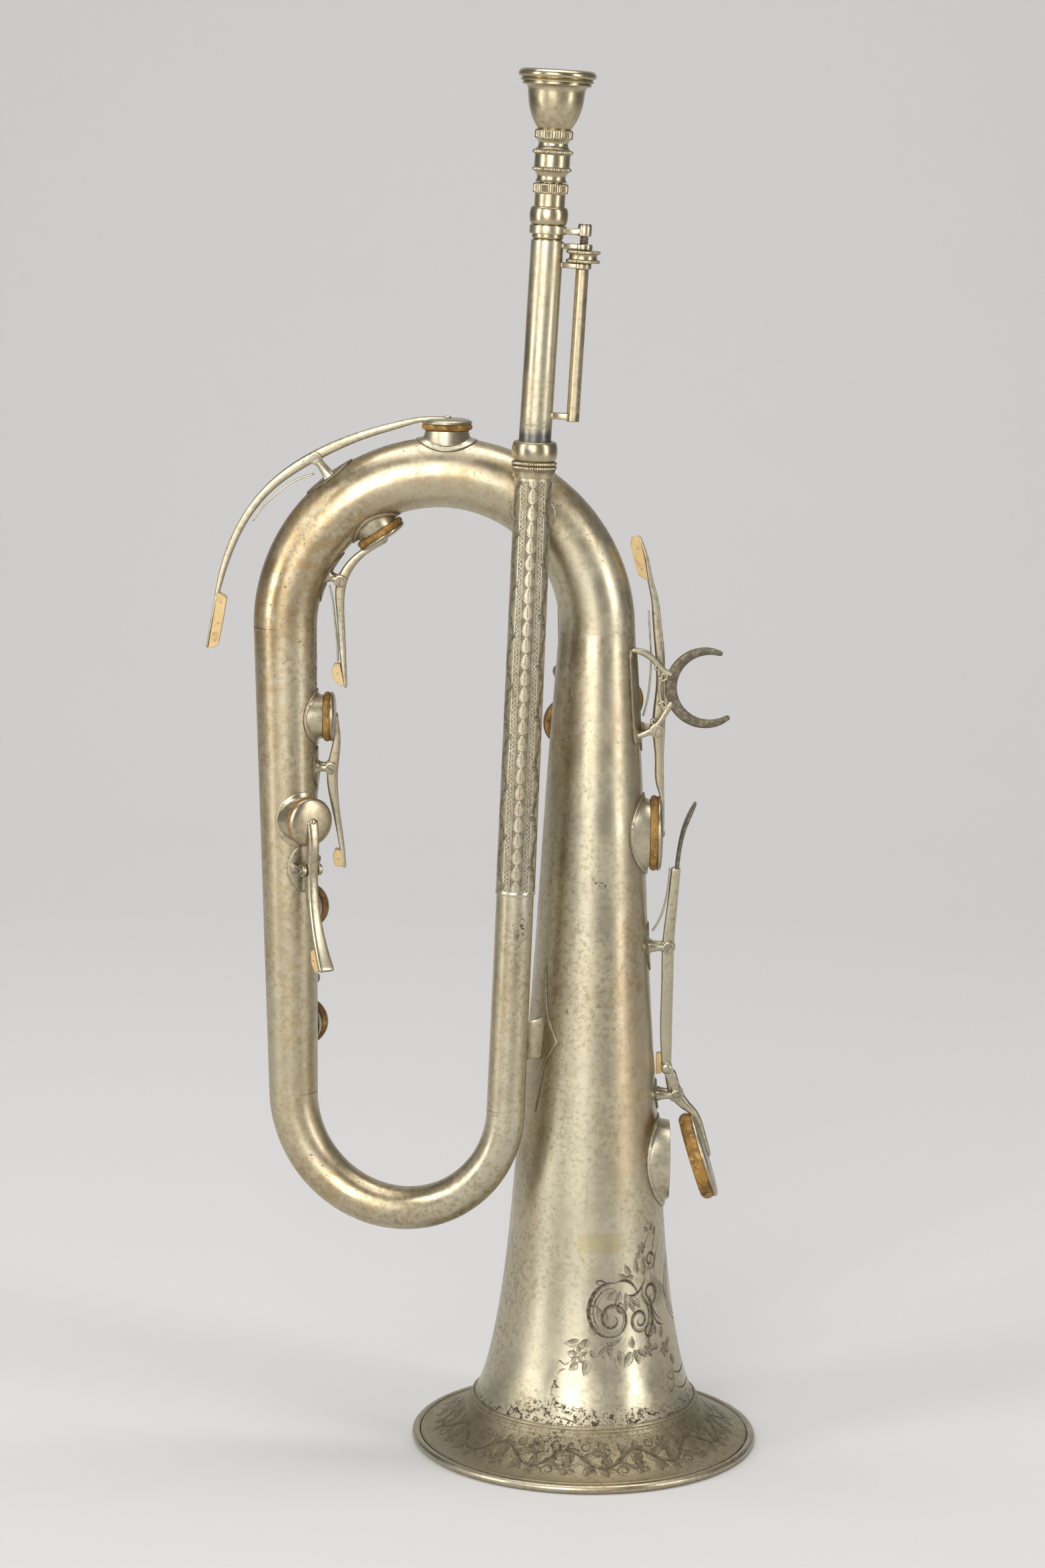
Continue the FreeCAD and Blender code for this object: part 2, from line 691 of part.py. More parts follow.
CLAMP_AT = 68.4
ARM_SHEET = 2.2
clamp_band = cylinder("clamp_radius", "clamp_height", along_slide(CLAMP_AT), SLIDE_RUN)
clamp_arm = box(SCREW - 4.0, 3.4, ARM_SHEET, SLIDE.multiply(
    Placement(Vector(4.0, 0, CLAMP_AT + 1.4), Rotation())))
clamp_boss = cylinder(2.3, 3.4, along_slide(CLAMP_AT, SCREW), SLIDE_RUN)
clamp_hole = cylinder(5.25, 10, along_slide(CLAMP_AT - 3), SLIDE_RUN)
rod_hole = cylinder("screw_radius", 10, along_slide(CLAMP_AT - 3, SCREW), SLIDE_RUN)
node("clamp_ring", cut(fuse(clamp_band, clamp_arm, clamp_boss), clamp_hole, rod_hole))

ROD_FOOT, ROD_HEAD = 9.6, 72.4
node("tuning_rod", cylinder("screw_radius", ROD_HEAD - ROD_FOOT,
                            along_slide(ROD_FOOT, SCREW), SLIDE_RUN))

WHEEL_AT = 59.75
WHEEL = size("wheel_radius")
WHEEL_BORE = size("screw_radius") + 0.06
WHEEL_TOP = size("wheel_height")
wheel = [(WHEEL_BORE, 0), (WHEEL, 0), (WHEEL, 1.0), (WHEEL - 1.0, 1.3),
         (WHEEL - 1.0, WHEEL_TOP - 1.3), (WHEEL, WHEEL_TOP - 1.0), (WHEEL, WHEEL_TOP),
         (WHEEL_BORE, WHEEL_TOP)]
node("tuning_wheel", turned("Wheel", polygon(wheel), SCREW_AT.multiply(
    Placement(Vector(0, 0, WHEEL_AT), Rotation()))))

BRACKET = size("bracket_thickness")


def slide_arm(height, reach, thickness="bracket_thickness"):
    """A flat arm from the outer tube towards the screw at a height on the slide."""
    lie = SLIDE.multiply(Placement(Vector(4.0, 0, height), Rotation()))
    return box(reach - 4.0, 4.2, thickness, lie)


def bracket(height):
    eye = cylinder(2.9, "bracket_thickness", along_slide(height - BRACKET / 2, SCREW),
                   SLIDE_RUN)
    return fuse(slide_arm(height, SCREW), eye)


BRACKET_GAP = 0.15
low_bracket = bracket(WHEEL_AT - BRACKET_GAP - BRACKET / 2)
top_bracket = bracket(WHEEL_AT + WHEEL_TOP + BRACKET_GAP + BRACKET / 2)
bracket_hole = cylinder("screw_radius + 0.1", 20, along_slide(WHEEL_AT - 8, SCREW), SLIDE_RUN)
tube_clear = cylinder("outer_tube_radius", 90, along_slide(-10), SLIDE_RUN)
node("wheel_brackets", cut(fuse(low_bracket, top_bracket), bracket_hole, tube_clear))

GUIDE_TOP = WHEEL_AT - BRACKET_GAP - BRACKET
guide = doc.addObject("Part::Prism", "Guide")
guide.Polygon = 8
bind(guide, "Circumradius", "guide_radius")
bind(guide, "Height", "guide_length")
guide.Placement = SLIDE.multiply(
    Placement(Vector(SCREW, 0, GUIDE_TOP - size("guide_length")), Rotation(UP, 22.5)))
guide_foot = slide_arm(GUIDE_TOP - size("guide_length") + 1.6, SCREW - 1.0, 2.2)
guide_hole = cylinder("screw_radius + 0.1", 70, along_slide(0, SCREW), SLIDE_RUN)
node("screw_guide", cut(fuse(guide, guide_foot), guide_hole, tube_clear))

# ------------------------------------------------------------------ mouthpiece

RIM = size("cup_rim_radius")
CUP = size("cup_bore_radius")
rim_arc = [(CUP, 120.0), (9.6, 121.3), (11.2, 121.5), (RIM - 0.2, 120.6), (RIM, 119.7),
           (RIM - 0.6, 118.6)]
step_lines = [(RIM - 0.6, 118.6), (10.9, 118.3), (10.9, 116.4), (9.4, 116.2), (9.2, 114.4)]
bowl = [(9.2, 114.4), (9.0, 112.0), (7.8, 106.8), (6.0, 103.3), (5.5, 102.2)]
stem_lines = [(5.5, 102.2), (6.3, 101.9), (6.3, 99.2), (5.5, 98.9)]
neck_one = [(5.5, 98.9), (4.8, 97.9), (5.6, 95.8)]
ring_one = [(5.6, 95.8), (6.75, 95.4), (6.75, 94.3), (5.9, 93.9), (5.9, 90.2), (6.5, 89.8),
            (6.5, 88.8), (5.4, 88.4)]
neck_two = [(5.4, 88.4), (4.7, 86.6), (5.2, 85.1)]
TIP = size("shank_radius")
shank_lines = [(5.2, 85.1), (TIP, 85.1), (TIP, 66.4), (2.9, 66.4), (2.0, 98.0)]
cup_inside = [(2.0, 98.0), (2.6, 102.0), (5.6, 106.0), (7.6, 112.0), (CUP, 120.0)]
piece = [rim_arc]
piece += [[a, b] for a, b in zip(step_lines, step_lines[1:])] + [bowl]
piece += [[a, b] for a, b in zip(stem_lines, stem_lines[1:])] + [neck_one]
piece += [[a, b] for a, b in zip(ring_one, ring_one[1:])] + [neck_two]
piece += [[a, b] for a, b in zip(shank_lines, shank_lines[1:])] + [cup_inside]
node("mouthpiece", turned("Mouthpiece", piece, SLIDE))

# --------------------------------------------------- chimneys, saddles and keys

for tube in KEYED:
    rings = [chimney(key) for key in ALL_KEYS.values() if key["tube"] == tube]
    node(f"{tube}_chimneys", fuse(*rings))

for tube in KEYED:
    seats = [saddle(key, key["pivot"], key["lug_aim"], key["lug_length"], key["foot"])
             for key in KEYS.values() if key["tube"] == tube]
    if tube == "bell":
        seats.append(saddle(BELL_KEY, BELL_KEY["touch_pivot"], 0, 8, BELL_KEY["touch_foot"]))
        seats.append(saddle(BELL_KEY, BELL_KEY["cup_pivot"], 0, 8, BELL_KEY["cup_foot"]))
    node(f"{tube}_saddles", cut(fuse(*seats), NODES[f"{tube}_chimneys"]))

pins = [hinge_pin(key, key["pivot"]) for key in KEYS.values()]
pins.append(hinge_pin(BELL_KEY, BELL_KEY["touch_pivot"]))
pins.append(hinge_pin(BELL_KEY, BELL_KEY["cup_pivot"]))
node("hinge_screws", fuse(*pins))

for name, key in KEYS.items():
    cup = (key["mouth"], key["aim"], key["pad"], key["pad_height"])
    node(f"{name}_lever", lever(f"{name}_arm", key, key["path"], key["thickness"],
                                key["pivot"], cup))
    node(f"{name}_pad", key_pad(key, key_frame(key)))

# The bell key's touch lever ends in an eye whose pin works in the second lever's slot.
touch_arm = lever("bell_touch_arm", BELL_KEY, BELL_KEY["touch_path"],
                  BELL_KEY["touch_thickness"], BELL_KEY["touch_pivot"])
LINK = Vector(BELL_KEY["link"][0], 0, BELL_KEY["link"][1])
ACROSS = Vector(0, 1, 0)
link_eye = cylinder(2.0, 4.0, LINK - ACROSS * 2.0, ACROSS)
link_pin = cylinder("pin_radius", 7.8, LINK - ACROSS * 3.9, ACROSS)
node("bell_key_touch_lever", fuse(touch_arm, link_eye, link_pin))

# The second lever is drawn with its cup closed, then swung open about its pivot.
SWING = Placement(Vector(), Rotation(Vector(0, -1, 0), BELL_KEY["open"]),
                  Vector(BELL_KEY["cup_pivot"][0], 0, BELL_KEY["cup_pivot"][1]))
link_shut = SWING.inverse().multVec(LINK)
cup_arm = lever("bell_cup_arm", BELL_KEY, BELL_KEY["cup_path"], BELL_KEY["cup_thickness"],
                BELL_KEY["cup_pivot"], (BELL_KEY["mouth"], 0, BELL_KEY["pad"],
                                        BELL_KEY["pad_height"]))
cup_arm.Placement = SWING
FORK_LOW, FORK_TOP, CHEEK = 128.8, 137.2, 1.2
fork_lie = Placement(Vector(link_shut.x - 2.4, 0, FORK_LOW + 1.3), Rotation())
fork_base = box(4.8, 7.0, 2.6, SWING.multiply(fork_lie))
fork = [fork_base]
for side in (-1, 1):
    cheek_lie = Placement(Vector(link_shut.x - 2.4, side * (3.5 - CHEEK / 2),
                                 (FORK_LOW + FORK_TOP) / 2), Rotation())
    fork.append(box(4.8, CHEEK, FORK_TOP - FORK_LOW, SWING.multiply(cheek_lie)))
slot_lie = Placement(Vector(link_shut.x - 1.0, 0, link_shut.z), Rotation())
slot = box(2.0, 12, 3.4, SWING.multiply(slot_lie))
node("bell_key_cup_lever", cut(fuse(cup_arm, *fork), slot))
node("bell_key_pad", key_pad(BELL_KEY, SWING))

# Ivory facings on the finger ends, and the bell key's ivory stop.
IVORY = {
    "key_1_ivory": ("key_1", (-125.9, 295.6), (-129.8, 277.8), 3.0, 7.0),
    "key_2_ivory": ("key_2", (-88.9, 272.2), (-88.3, 265.2), 2.8, 5.6),
    "key_3_ivory": ("key_3", (15.9, 208.4), (16.9, 202.8), 2.0, 5.6),
    "key_4_ivory": ("key_4", (20.6, 175.0), (23.6, 169.8), 1.4, 6.6),
    "key_6_ivory": ("key_6", (15.2, 303.0), (11.0, 315.2), 2.8, 6.4),
    "bell_key_stop": ("bell_key", (23.5, 140.6), (23.6, 134.6), 1.1, 3.6),
}
for name, (owner, start, end, thickness, width) in IVORY.items():
    node(name, slab(ALL_KEYS[owner], start, end, thickness, width))

SPRINGS = {
    "key_1_spring": ("key_1", [(-115.6, 321.8), (-107.5, 325.6), (-100.5, 330.4),
                               (-94.4, 335.6)]),
    "key_2_spring": ("key_2", [(-88.4, 276.0), (-89.6, 283.0), (-90.9, 291.0),
                               (-91.2, 298.0)]),
    "key_6_spring": ("key_6", [(19.0, 290.5), (17.8, 283.0), (17.0, 270.0), (16.0, 257.0)]),
    "bell_key_spring": ("bell_key", [(26.2, 203.0), (24.8, 196.0), (22.6, 188.0),
                                     (20.6, 181.5)]),
}
for name, (owner, path) in SPRINGS.items():
    node(name, leaf_spring(name, ALL_KEYS[owner], path))

# ------------------------------------------------------ finger crescent, braces

CRESCENT_AT = Vector(37.7, -6.5, 266.9)
CRESCENT_R = size("crescent_radius")
CRESCENT_FROM, CRESCENT_TO, CRESCENT_STEPS = 72, 303, 12


def on_crescent(step):
    angle = math.radians(CRESCENT_FROM + (CRESCENT_TO - CRESCENT_FROM) * step / CRESCENT_STEPS)
    return (CRESCENT_R * math.cos(angle), CRESCENT_R * math.sin(angle))


ring_path = [on_crescent(step) for step in range(CRESCENT_STEPS + 1)]
hook = flat_piece("CrescentHook", ribbon(ring_path, size("crescent_width")),
                  "crescent_sheet", Placement(CRESCENT_AT, Rotation()))
top_arm = [(11.5, 278.6), (15.5, 278.4), (19.4, 275.8), (22.2, 272.8), (25.8, 271.2)]
low_arm = [(12.5, 250.4), (16.5, 251.0), (20.4, 253.6), (23.4, 258.0), (25.8, 262.6)]
arm_lie = Placement(Vector(0, CRESCENT_AT.y, 0), Rotation())
arms = [flat_piece("CrescentArm", ribbon(path, size("arm_width")), "crescent_sheet", arm_lie)
        for path in (top_arm, low_arm)]
scrolls = [cylinder(radius, "crescent_sheet",
                    (x, CRESCENT_AT.y - size("crescent_sheet") / 2, z), ACROSS)
           for x, z, radius in ((22.4, 271.4, 1.8), (23.0, 260.4, 1.6), (20.4, 252.0, 2.6))]
node("finger_crescent", cut(fuse(hook, *arms, *scrolls), GROWN["bell"]))

plate_lie = Placement(Vector(9.6, -8.6, 263.6), Rotation())
plate_block = box(6.4, 7.6, 32.6, plate_lie)
node("crescent_plate", cut(common(GROWN["bell"], plate_block), SOLID["bell"]))

BRACE_Z = 146.0
pipe_at = PIPE_LOW + PIPE_AXIS * ((BRACE_Z - PIPE_LOW.z) / PIPE_AXIS.z)
brace_run = Vector(-pipe_at.x, -pipe_at.y, 0)
brace_turn = math.degrees(math.atan2(brace_run.y, brace_run.x))
brace_lie = Placement(pipe_at, Rotation(UP, brace_turn))


def lozenge(half_width, half_height, lift):
    """A lozenge-shaped prism that runs from the mouthpipe's axis towards the bell's."""
    corners = [(0, half_height), (half_width, 0), (0, -half_height), (-half_width, 0)]
    length = brace_run.Length * 2
    turn = brace_lie.multiply(Placement(Vector(0, 0, lift), Rotation(UP, 90)))
    return flat_piece("Lozenge", polygon(corners), length, turn)


near_bell = box(brace_run.Length - 12, 60, 80,
                brace_lie.multiply(Placement(Vector(12, 0, 0), Rotation())))
bell_lozenge = cut(common(common(GROWN["bell"], lozenge(7.4, 25.6, 0)), near_bell),
                   SEAT["bell"])
near_pipe = box(12, 30, 60, brace_lie)
pipe_lozenge = cut(common(common(mouthpipe(0.6), lozenge(4.2, 11.5, 2.5)), near_pipe),
                   mouthpipe(SKIN_GAP))
web = cut(box(brace_run.Length - 10, "brace_sheet", 15.0, brace_lie.multiply(
    Placement(Vector(3, 0, 0.4), Rotation()))), mouthpipe(SKIN_GAP), SEAT["bell"])
node("lower_brace", fuse(bell_lozenge, pipe_lozenge, web))

BOW_BRACE = Vector(-22.3, -8.0, 325.8)
AHEAD = Vector(0, -1, 0)
plate_rim = doc.addObject("Part::Ellipse", "BowPlate")
plate_rim.MajorRadius = 7.4
plate_rim.MinorRadius = 5.5
plate_rim.Placement = Placement(BOW_BRACE, Rotation(Vector(1, 0, -0.7), Vector(), AHEAD, "ZXY"))
plate_prism = doc.addObject("Part::Extrusion", "BowPrism")
plate_prism.Base = plate_rim
plate_prism.DirMode = "Custom"
plate_prism.Dir = AHEAD
plate_prism.LengthFwd = 10
plate_prism.Solid = True
bow_plate = cut(common(GROWN["top_bow"], plate_prism), SEAT["top_bow"])
post = cut(cylinder(2.6, 12, BOW_BRACE, AHEAD), SEAT["top_bow"], mouthpipe(0.3))
node("upper_brace", fuse(bow_plate, post))

# ------------------------------------------------------------- check and export

doc.recompute()
failed = [item.Name for item in doc.Objects
          if "Invalid" in item.State or "Error" in item.State]
if failed:
    raise RuntimeError(f"failed objects: {failed}")
for name, item in NODES.items():
    if item.Shape.isNull() or not item.Shape.isValid():
        raise RuntimeError(f"bad shape: {name}")

os.makedirs("parts", exist_ok=True)
for name, item in NODES.items():
    item.Shape.exportStep(f"parts/{name}.step")
print(len(NODES), "nodes")
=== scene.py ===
import json
import math

import bmesh
import bpy
import numpy as np
from mathutils import Matrix, Vector
from mathutils.bvhtree import BVHTree


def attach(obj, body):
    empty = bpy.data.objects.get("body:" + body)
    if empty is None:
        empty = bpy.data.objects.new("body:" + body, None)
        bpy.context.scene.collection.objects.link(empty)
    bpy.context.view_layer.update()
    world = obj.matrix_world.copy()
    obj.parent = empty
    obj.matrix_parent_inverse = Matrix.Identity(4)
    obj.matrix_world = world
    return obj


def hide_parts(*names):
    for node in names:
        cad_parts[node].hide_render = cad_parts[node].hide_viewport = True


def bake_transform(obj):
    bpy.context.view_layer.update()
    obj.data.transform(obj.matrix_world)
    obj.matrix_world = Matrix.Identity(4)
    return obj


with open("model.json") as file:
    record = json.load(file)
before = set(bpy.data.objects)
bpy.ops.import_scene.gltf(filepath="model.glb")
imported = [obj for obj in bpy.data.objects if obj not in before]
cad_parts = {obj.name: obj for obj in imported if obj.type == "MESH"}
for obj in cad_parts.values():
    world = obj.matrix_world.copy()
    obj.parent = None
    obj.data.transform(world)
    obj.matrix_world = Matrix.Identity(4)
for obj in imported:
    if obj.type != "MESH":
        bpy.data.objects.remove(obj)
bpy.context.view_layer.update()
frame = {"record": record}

# Lengths in this script are millimetres in the CAD frame; add() turns them to metres.
MM = 0.001
TAU = 2 * math.pi
UP = Vector((0, 0, 1))


# ------------------------------------------------------------------ shapes

class Shape:
    """Points, faces, and values per point that a material reads by name."""

    def __init__(self, points, faces, **values):
        self.points = np.asarray(points, float)
        self.faces = list(faces)
        self.values = values


def merged(shapes):
    """One shape of several; a value that a shape lacks is 0 on its points."""
    points = np.concatenate([s.points for s in shapes])
    faces, start = [], 0
    for s in shapes:
        faces += [tuple(i + start for i in face) for face in s.faces]
        start += len(s.points)
    words = {word for s in shapes for word in s.values}
    values = {word: np.concatenate([s.values.get(word, np.zeros(len(s.points)))
                                    for s in shapes]) for word in sorted(words)}
    return Shape(points, faces, **values)


def in_scene(name, data):
    """A new object of data, linked to the scene."""
    item = bpy.data.objects.new(name, data)
    bpy.context.scene.collection.objects.link(item)
    return item


def add(name, shapes, material, body="root", stands_for=(), crease=38):
    """Make one piece of the object from shapes, riding on a body."""
    shape = merged(shapes)
    mesh = bpy.data.meshes.new(name)
    mesh.from_pydata((shape.points * MM).tolist(), [], shape.faces)
    for word, value in shape.values.items():
        mesh.attributes.new(word, "FLOAT", "POINT").data.foreach_set(
            "value", value.astype(np.float32))
    work = bmesh.new()
    work.from_mesh(mesh)
    bmesh.ops.remove_doubles(work, verts=work.verts, dist=2e-6)
    bmesh.ops.recalc_face_normals(work, faces=work.faces)
    work.to_mesh(mesh)
    work.free()
    mesh.shade_smooth()
    mesh.set_sharp_from_angle(angle=math.radians(crease))
    mesh.materials.append(material)
    piece = in_scene(name, mesh)
    if body:
        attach(piece, body)
    if stands_for:
        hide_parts(*stands_for)
    return piece


def place_at(origin, axis=(0, 0, 1), toward=(1, 0, 0)):
    """A frame at origin whose Z is axis and whose X leans towards toward."""
    z = Vector(axis).normalized()
    x = Vector(toward) - z * Vector(toward).dot(z)
    x = x.normalized() if x.length > 1e-4 else z.orthogonal().normalized()
    place = Matrix((x, z.cross(x), z)).transposed().to_4x4()
    place.translation = Vector(origin)
    return place


def moved(points, place):
    """Points put through a 4x4 matrix."""
    m = np.array(place)
    return np.asarray(points, float) @ m[:3, :3].T + m[:3, 3]


def grid_faces(rows, columns):
    """The quads of a tube-like grid of points, closed round its columns."""
    faces = []
    for r in range(rows - 1):
        for c in range(columns):
            d = (c + 1) % columns
            faces.append((r * columns + c, r * columns + d,
                          (r + 1) * columns + d, (r + 1) * columns + c))
    return faces


def closed_faces(rows, columns):
    """grid_faces, with the last row joined to the first to close a hollow sleeve."""
    last = (rows - 1) * columns
    return grid_faces(rows, columns) + [
        (last + c, last + (c + 1) % columns, (c + 1) % columns, c) for c in range(columns)]


def run_lengths(points):
    """How far along a line of points each point lies."""
    return np.r_[0, np.cumsum(np.linalg.norm(np.diff(points, axis=0), axis=1))]


def spline(rows, count):
    """A natural cubic spline through rows, even in the length of their first two columns."""
    p = np.asarray(rows, float)
    t = run_lengths(p[:, :2])
    n, h = len(p), np.diff(t)
    left, right = np.eye(n), np.zeros_like(p)
    for i in range(1, n - 1):
        left[i, i - 1:i + 2] = h[i - 1], 2 * (h[i - 1] + h[i]), h[i]
        right[i] = 6 * ((p[i + 1] - p[i]) / h[i] - (p[i] - p[i - 1]) / h[i - 1])
    m = np.linalg.solve(left, right)
    s = np.linspace(0, t[-1], count)
    k = np.clip(np.searchsorted(t, s, "right") - 1, 0, n - 2)
    a, b, w = (t[k + 1] - s)[:, None], (s - t[k])[:, None], h[k][:, None]
    return (m[k] * a ** 3 + m[k + 1] * b ** 3) / (6 * w) + \
        (p[k] / w - m[k] * w / 6) * a + (p[k + 1] / w - m[k + 1] * w / 6) * b


def rounded(points, radius=0.25, steps=3):
    """A line of points with each corner turned into a small fillet."""
    line = [tuple(points[0])]
    for before, corner, after in zip(points, points[1:], points[2:]):
        c = Vector(corner)
        back, on = Vector(before) - c, Vector(after) - c
        reach = min(radius, back.length * 0.45, on.length * 0.45)
        start, end = c + back.normalized() * reach, c + on.normalized() * reach
        for i in range(steps + 1):
            t = i / steps
            line.append(tuple(start * (1 - t) ** 2 + c * 2 * t * (1 - t) + end * t * t))
    return line + [tuple(points[-1])]


def turned(profile, place=Matrix(), segments=96, ripple=None):
    """A profile of (radius, height) turned about Z.

    ripple(height, angle) gives what it adds to the radius and how dark its hollows are.
    """
    angle = np.arange(segments) / segments * TAU
    rows, dark = [], []
    for r, h in profile:
        radius, hollow = np.full(segments, float(r)), np.zeros(segments)
        if ripple and r > 0:
            rise, recess = ripple(h, angle)
            radius, hollow = radius + rise, hollow + recess
        rows.append(np.stack([radius * np.cos(angle), radius * np.sin(angle),
                              np.full(segments, float(h))], 1))
        dark.append(hollow)
    return Shape(moved(np.concatenate(rows), place), grid_faces(len(profile), segments),
                 oxide=np.concatenate(dark))


def disc(place, radius, half, edge, segments):
    """A short solid cylinder about place's origin, its edges rounded."""
    return turned(rounded([(0, -half), (radius, -half), (radius, half), (0, half)], edge),
                  place, segments)


def ring_line(inner, outer, low, high, edge):
    """The closed profile of a plain ring or tube, its edges rounded."""
    return rounded([(inner, low), (outer, low), (outer, high), (inner, high), (inner, low)], edge)


def beads(low, high, depth, count):
    """A ripple that turns the band between low and high into a ring of beads."""
    def ripple(h, angle):
        rise = max(0.0, 1 - abs((h - (low + high) / 2) / ((high - low) / 2)) ** 2) ** 0.5
        bead = rise * np.abs(np.cos(angle * count / 2)) ** 0.6
        near = 0.9 if low - 0.15 < h < high + 0.15 else 0.0
        return depth * bead, near * (1 - np.clip(bead * 1.35, 0, 1))
    return ripple


ROUND_END = ((0.50, 0.30), (0.44, 0.62), (0.26, 0.90))
BLUNT_END = ((0.10, 0.80), (0.07, 0.92), (0.03, 0.98))


def squared(wave, power):
    """A sine or cosine whose size is raised to power and whose sign is kept."""
    return np.sign(wave) * np.abs(wave) ** power


def bar(rows, plane, count=48, ring=24, power=4.5, crown=0.0, tips=ROUND_END):
    """A bar along rows of (out, height, width, thickness) in a plane."""
    line = spline(rows, count)
    run = np.gradient(line[:, :2], axis=0)
    run /= np.linalg.norm(run, axis=1)[:, None]
    turn = (np.arange(ring) + 0.5) / ring * TAU
    wide, thick = squared(np.cos(turn), 2 / power), squared(np.sin(turn), 2 / power)
    thick = thick + crown * np.maximum(np.sin(turn), 0) * (1 - np.abs(wide))
    sections = [(line[0], run[0], -along, scale) for along, scale in tips]
    sections += [(at, way, 0.0, 1.0) for at, way in zip(line, run)]
    sections += [(line[-1], run[-1], along, scale) for along, scale in tips[::-1]]
    points = []
    for (x, z, width, depth), way, along, scale in sections:
        half = (width - (1 - scale) * depth) / 2
        out = x + way[0] * along * depth - way[1] * thick * depth / 2 * scale
        up = z + way[1] * along * depth + way[0] * thick * depth / 2 * scale
        points.append(np.stack([out, half * wide, up], 1))
    faces = grid_faces(len(sections), ring)
    last = (len(sections) - 1) * ring
    faces += [tuple(range(ring))[::-1], tuple(range(last, last + ring))]
    return Shape(moved(np.concatenate(points), plane), faces)


def prism(outline, low, high, place=Matrix(), bevel=0.2):
    """A flat plate of an outline between two heights, its edges bevelled."""
    o = np.asarray(outline, float)
    centre = o.mean(0)
    inset = centre + (o - centre) * (1 - bevel / np.abs(o - centre).max())
    rows = [(inset, low), (o, low + bevel), (o, high - bevel), (inset, high)]
    points = np.concatenate([np.c_[flat, np.full(len(o), h)] for flat, h in rows])
    faces = grid_faces(4, len(o))
    last = 3 * len(o)
    faces += [tuple(range(len(o)))[::-1], tuple(range(last, last + len(o)))]
    return Shape(moved(points, place), faces)


# --------------------------------------------------------------- engraving

def ink(at, strokes, soft=0.12):
    """How deep the strokes (line, half width, strength) cut at each flat point."""
    depth = np.zeros(len(at))
    for line, width, strength in strokes:
        line = np.asarray(line, float)
        width = np.broadcast_to(np.asarray(width, float), len(line))
        reach = width.max() + soft
        low, high = line.min(0) - reach, line.max(0) + reach
        near = np.nonzero((at > low).all(1) & (at < high).all(1))[0]
        if not len(near):
            continue
        p = at[near]
        best = np.zeros(len(near))
        for a, b, wa, wb in zip(line, line[1:], width, width[1:]):
            d = b - a
            t = np.clip(((p - a) @ d) / max(d @ d, 1e-9), 0, 1)
            gap = np.linalg.norm(p - a - t[:, None] * d, axis=1)
            best = np.maximum(best, np.clip((wa + (wb - wa) * t - gap) / soft + 0.5, 0, 1))
        depth[near] = np.maximum(depth[near], best * strength)
    return depth


def taper(count, width):
    """A width that swells from nothing and back along a stroke."""
    return width * np.sin(np.linspace(0.12, math.pi - 0.12, count)) ** 0.7


def leaf(base, heading, length, width, hatch=4, line=0.16):
    """A pointed leaf: two edges, a midrib, slanting cuts and one side shaded."""
    t = np.linspace(0, 1, 13)
    along = np.array([math.cos(heading), math.sin(heading)])
    across = np.array([-along[1], along[0]])
    swell = np.sin(math.pi * t ** 0.8) * width / 2
    bend = np.sin(t * math.pi) * length * 0.10
    spine = np.asarray(base) + np.outer(t * length, along) + np.outer(bend, across)
    strokes = [(spine + np.outer(swell, across), taper(13, line), 0.9),
               (spine - np.outer(swell, across), taper(13, line * 1.7), 1.0),
               (spine[:11], taper(11, line), 0.9),
               (spine - np.outer(swell * 0.5, across), np.maximum(swell * 0.5, 0.02), 0.62)]
    for i in range(hatch):
        at = 0.15 + 0.6 * i / max(hatch - 1, 1)
        start = spine[int(at * 12)]
        reach = math.sin(math.pi * at ** 0.8) * width * 0.42
        end = start + along * reach * 0.9 + across * reach
        strokes.append(([start, end], [line * 0.9, line * 0.5], 0.8))
    return strokes


def scroll(centre, radius, start, turns, line=0.3, close=0.16):
    """A spiral that winds in to its centre: a heavy line, a fine one and shade between."""
    t = np.linspace(0, 1, 48)
    angle = math.radians(start) + turns * TAU * t
    strokes = []
    for inset, width, strength in ((1.0, line, 1.0), (0.80, line * 0.45, 0.9),
                                   (0.90, line * 1.3, 0.42)):
        r = radius * inset * (1 - t) ** 0.75 + radius * close * t
        strokes.append((np.stack([centre[0] + r * np.cos(angle),
                                  centre[1] + r * np.sin(angle)], 1), taper(48, width),
                        strength))
    return strokes


def flower(centre, radius, petals=5, turn=0.3, line=0.16):
    """Leaves set round a small ring."""
    strokes = []
    for i in range(petals):
        heading = turn + TAU * i / petals
        start = (centre[0] + radius * 0.2 * math.cos(heading),
                 centre[1] + radius * 0.2 * math.sin(heading))
        strokes += leaf(start, heading, radius, radius * 0.75, 2, line)
    ring = np.linspace(0, TAU, 12)
    strokes.append((np.stack([centre[0] + radius * 0.2 * np.cos(ring),
                              centre[1] + radius * 0.2 * np.sin(ring)], 1), line, 1.0))
    return strokes


def arc_line(centre, radii, start, end, width, count=24):
    """One swelling stroke along an ellipse's arc, angles in degrees."""
    angle = np.radians(np.linspace(start, end, count))
    return (np.stack([centre[0] + radii[0] * np.cos(angle),
                      centre[1] + radii[1] * np.sin(angle)], 1), taper(count, width), 1.0)


def curve_line(points, width, count=20):
    """One swelling stroke along a smooth curve through points."""
    return (spline(points, count), taper(count, width), 1.0)


def mirrored(strokes):
    """The strokes turned over about the line x = 0."""
    return [(np.asarray(line) * (-1, 1), width, strength) for line, width, strength in strokes]


def blobs(points, spots):
    """Soft patches: each spot is (centre, (x, y, z) reach, strength)."""
    total = np.zeros(len(points))
    for centre, reach, strength in spots:
        d = (points - np.asarray(centre)) / np.asarray(reach, float)
        total += strength * np.exp(-(d ** 2).sum(1))
    return np.clip(total, 0, 1)


# --------------------------------------------------------------- materials

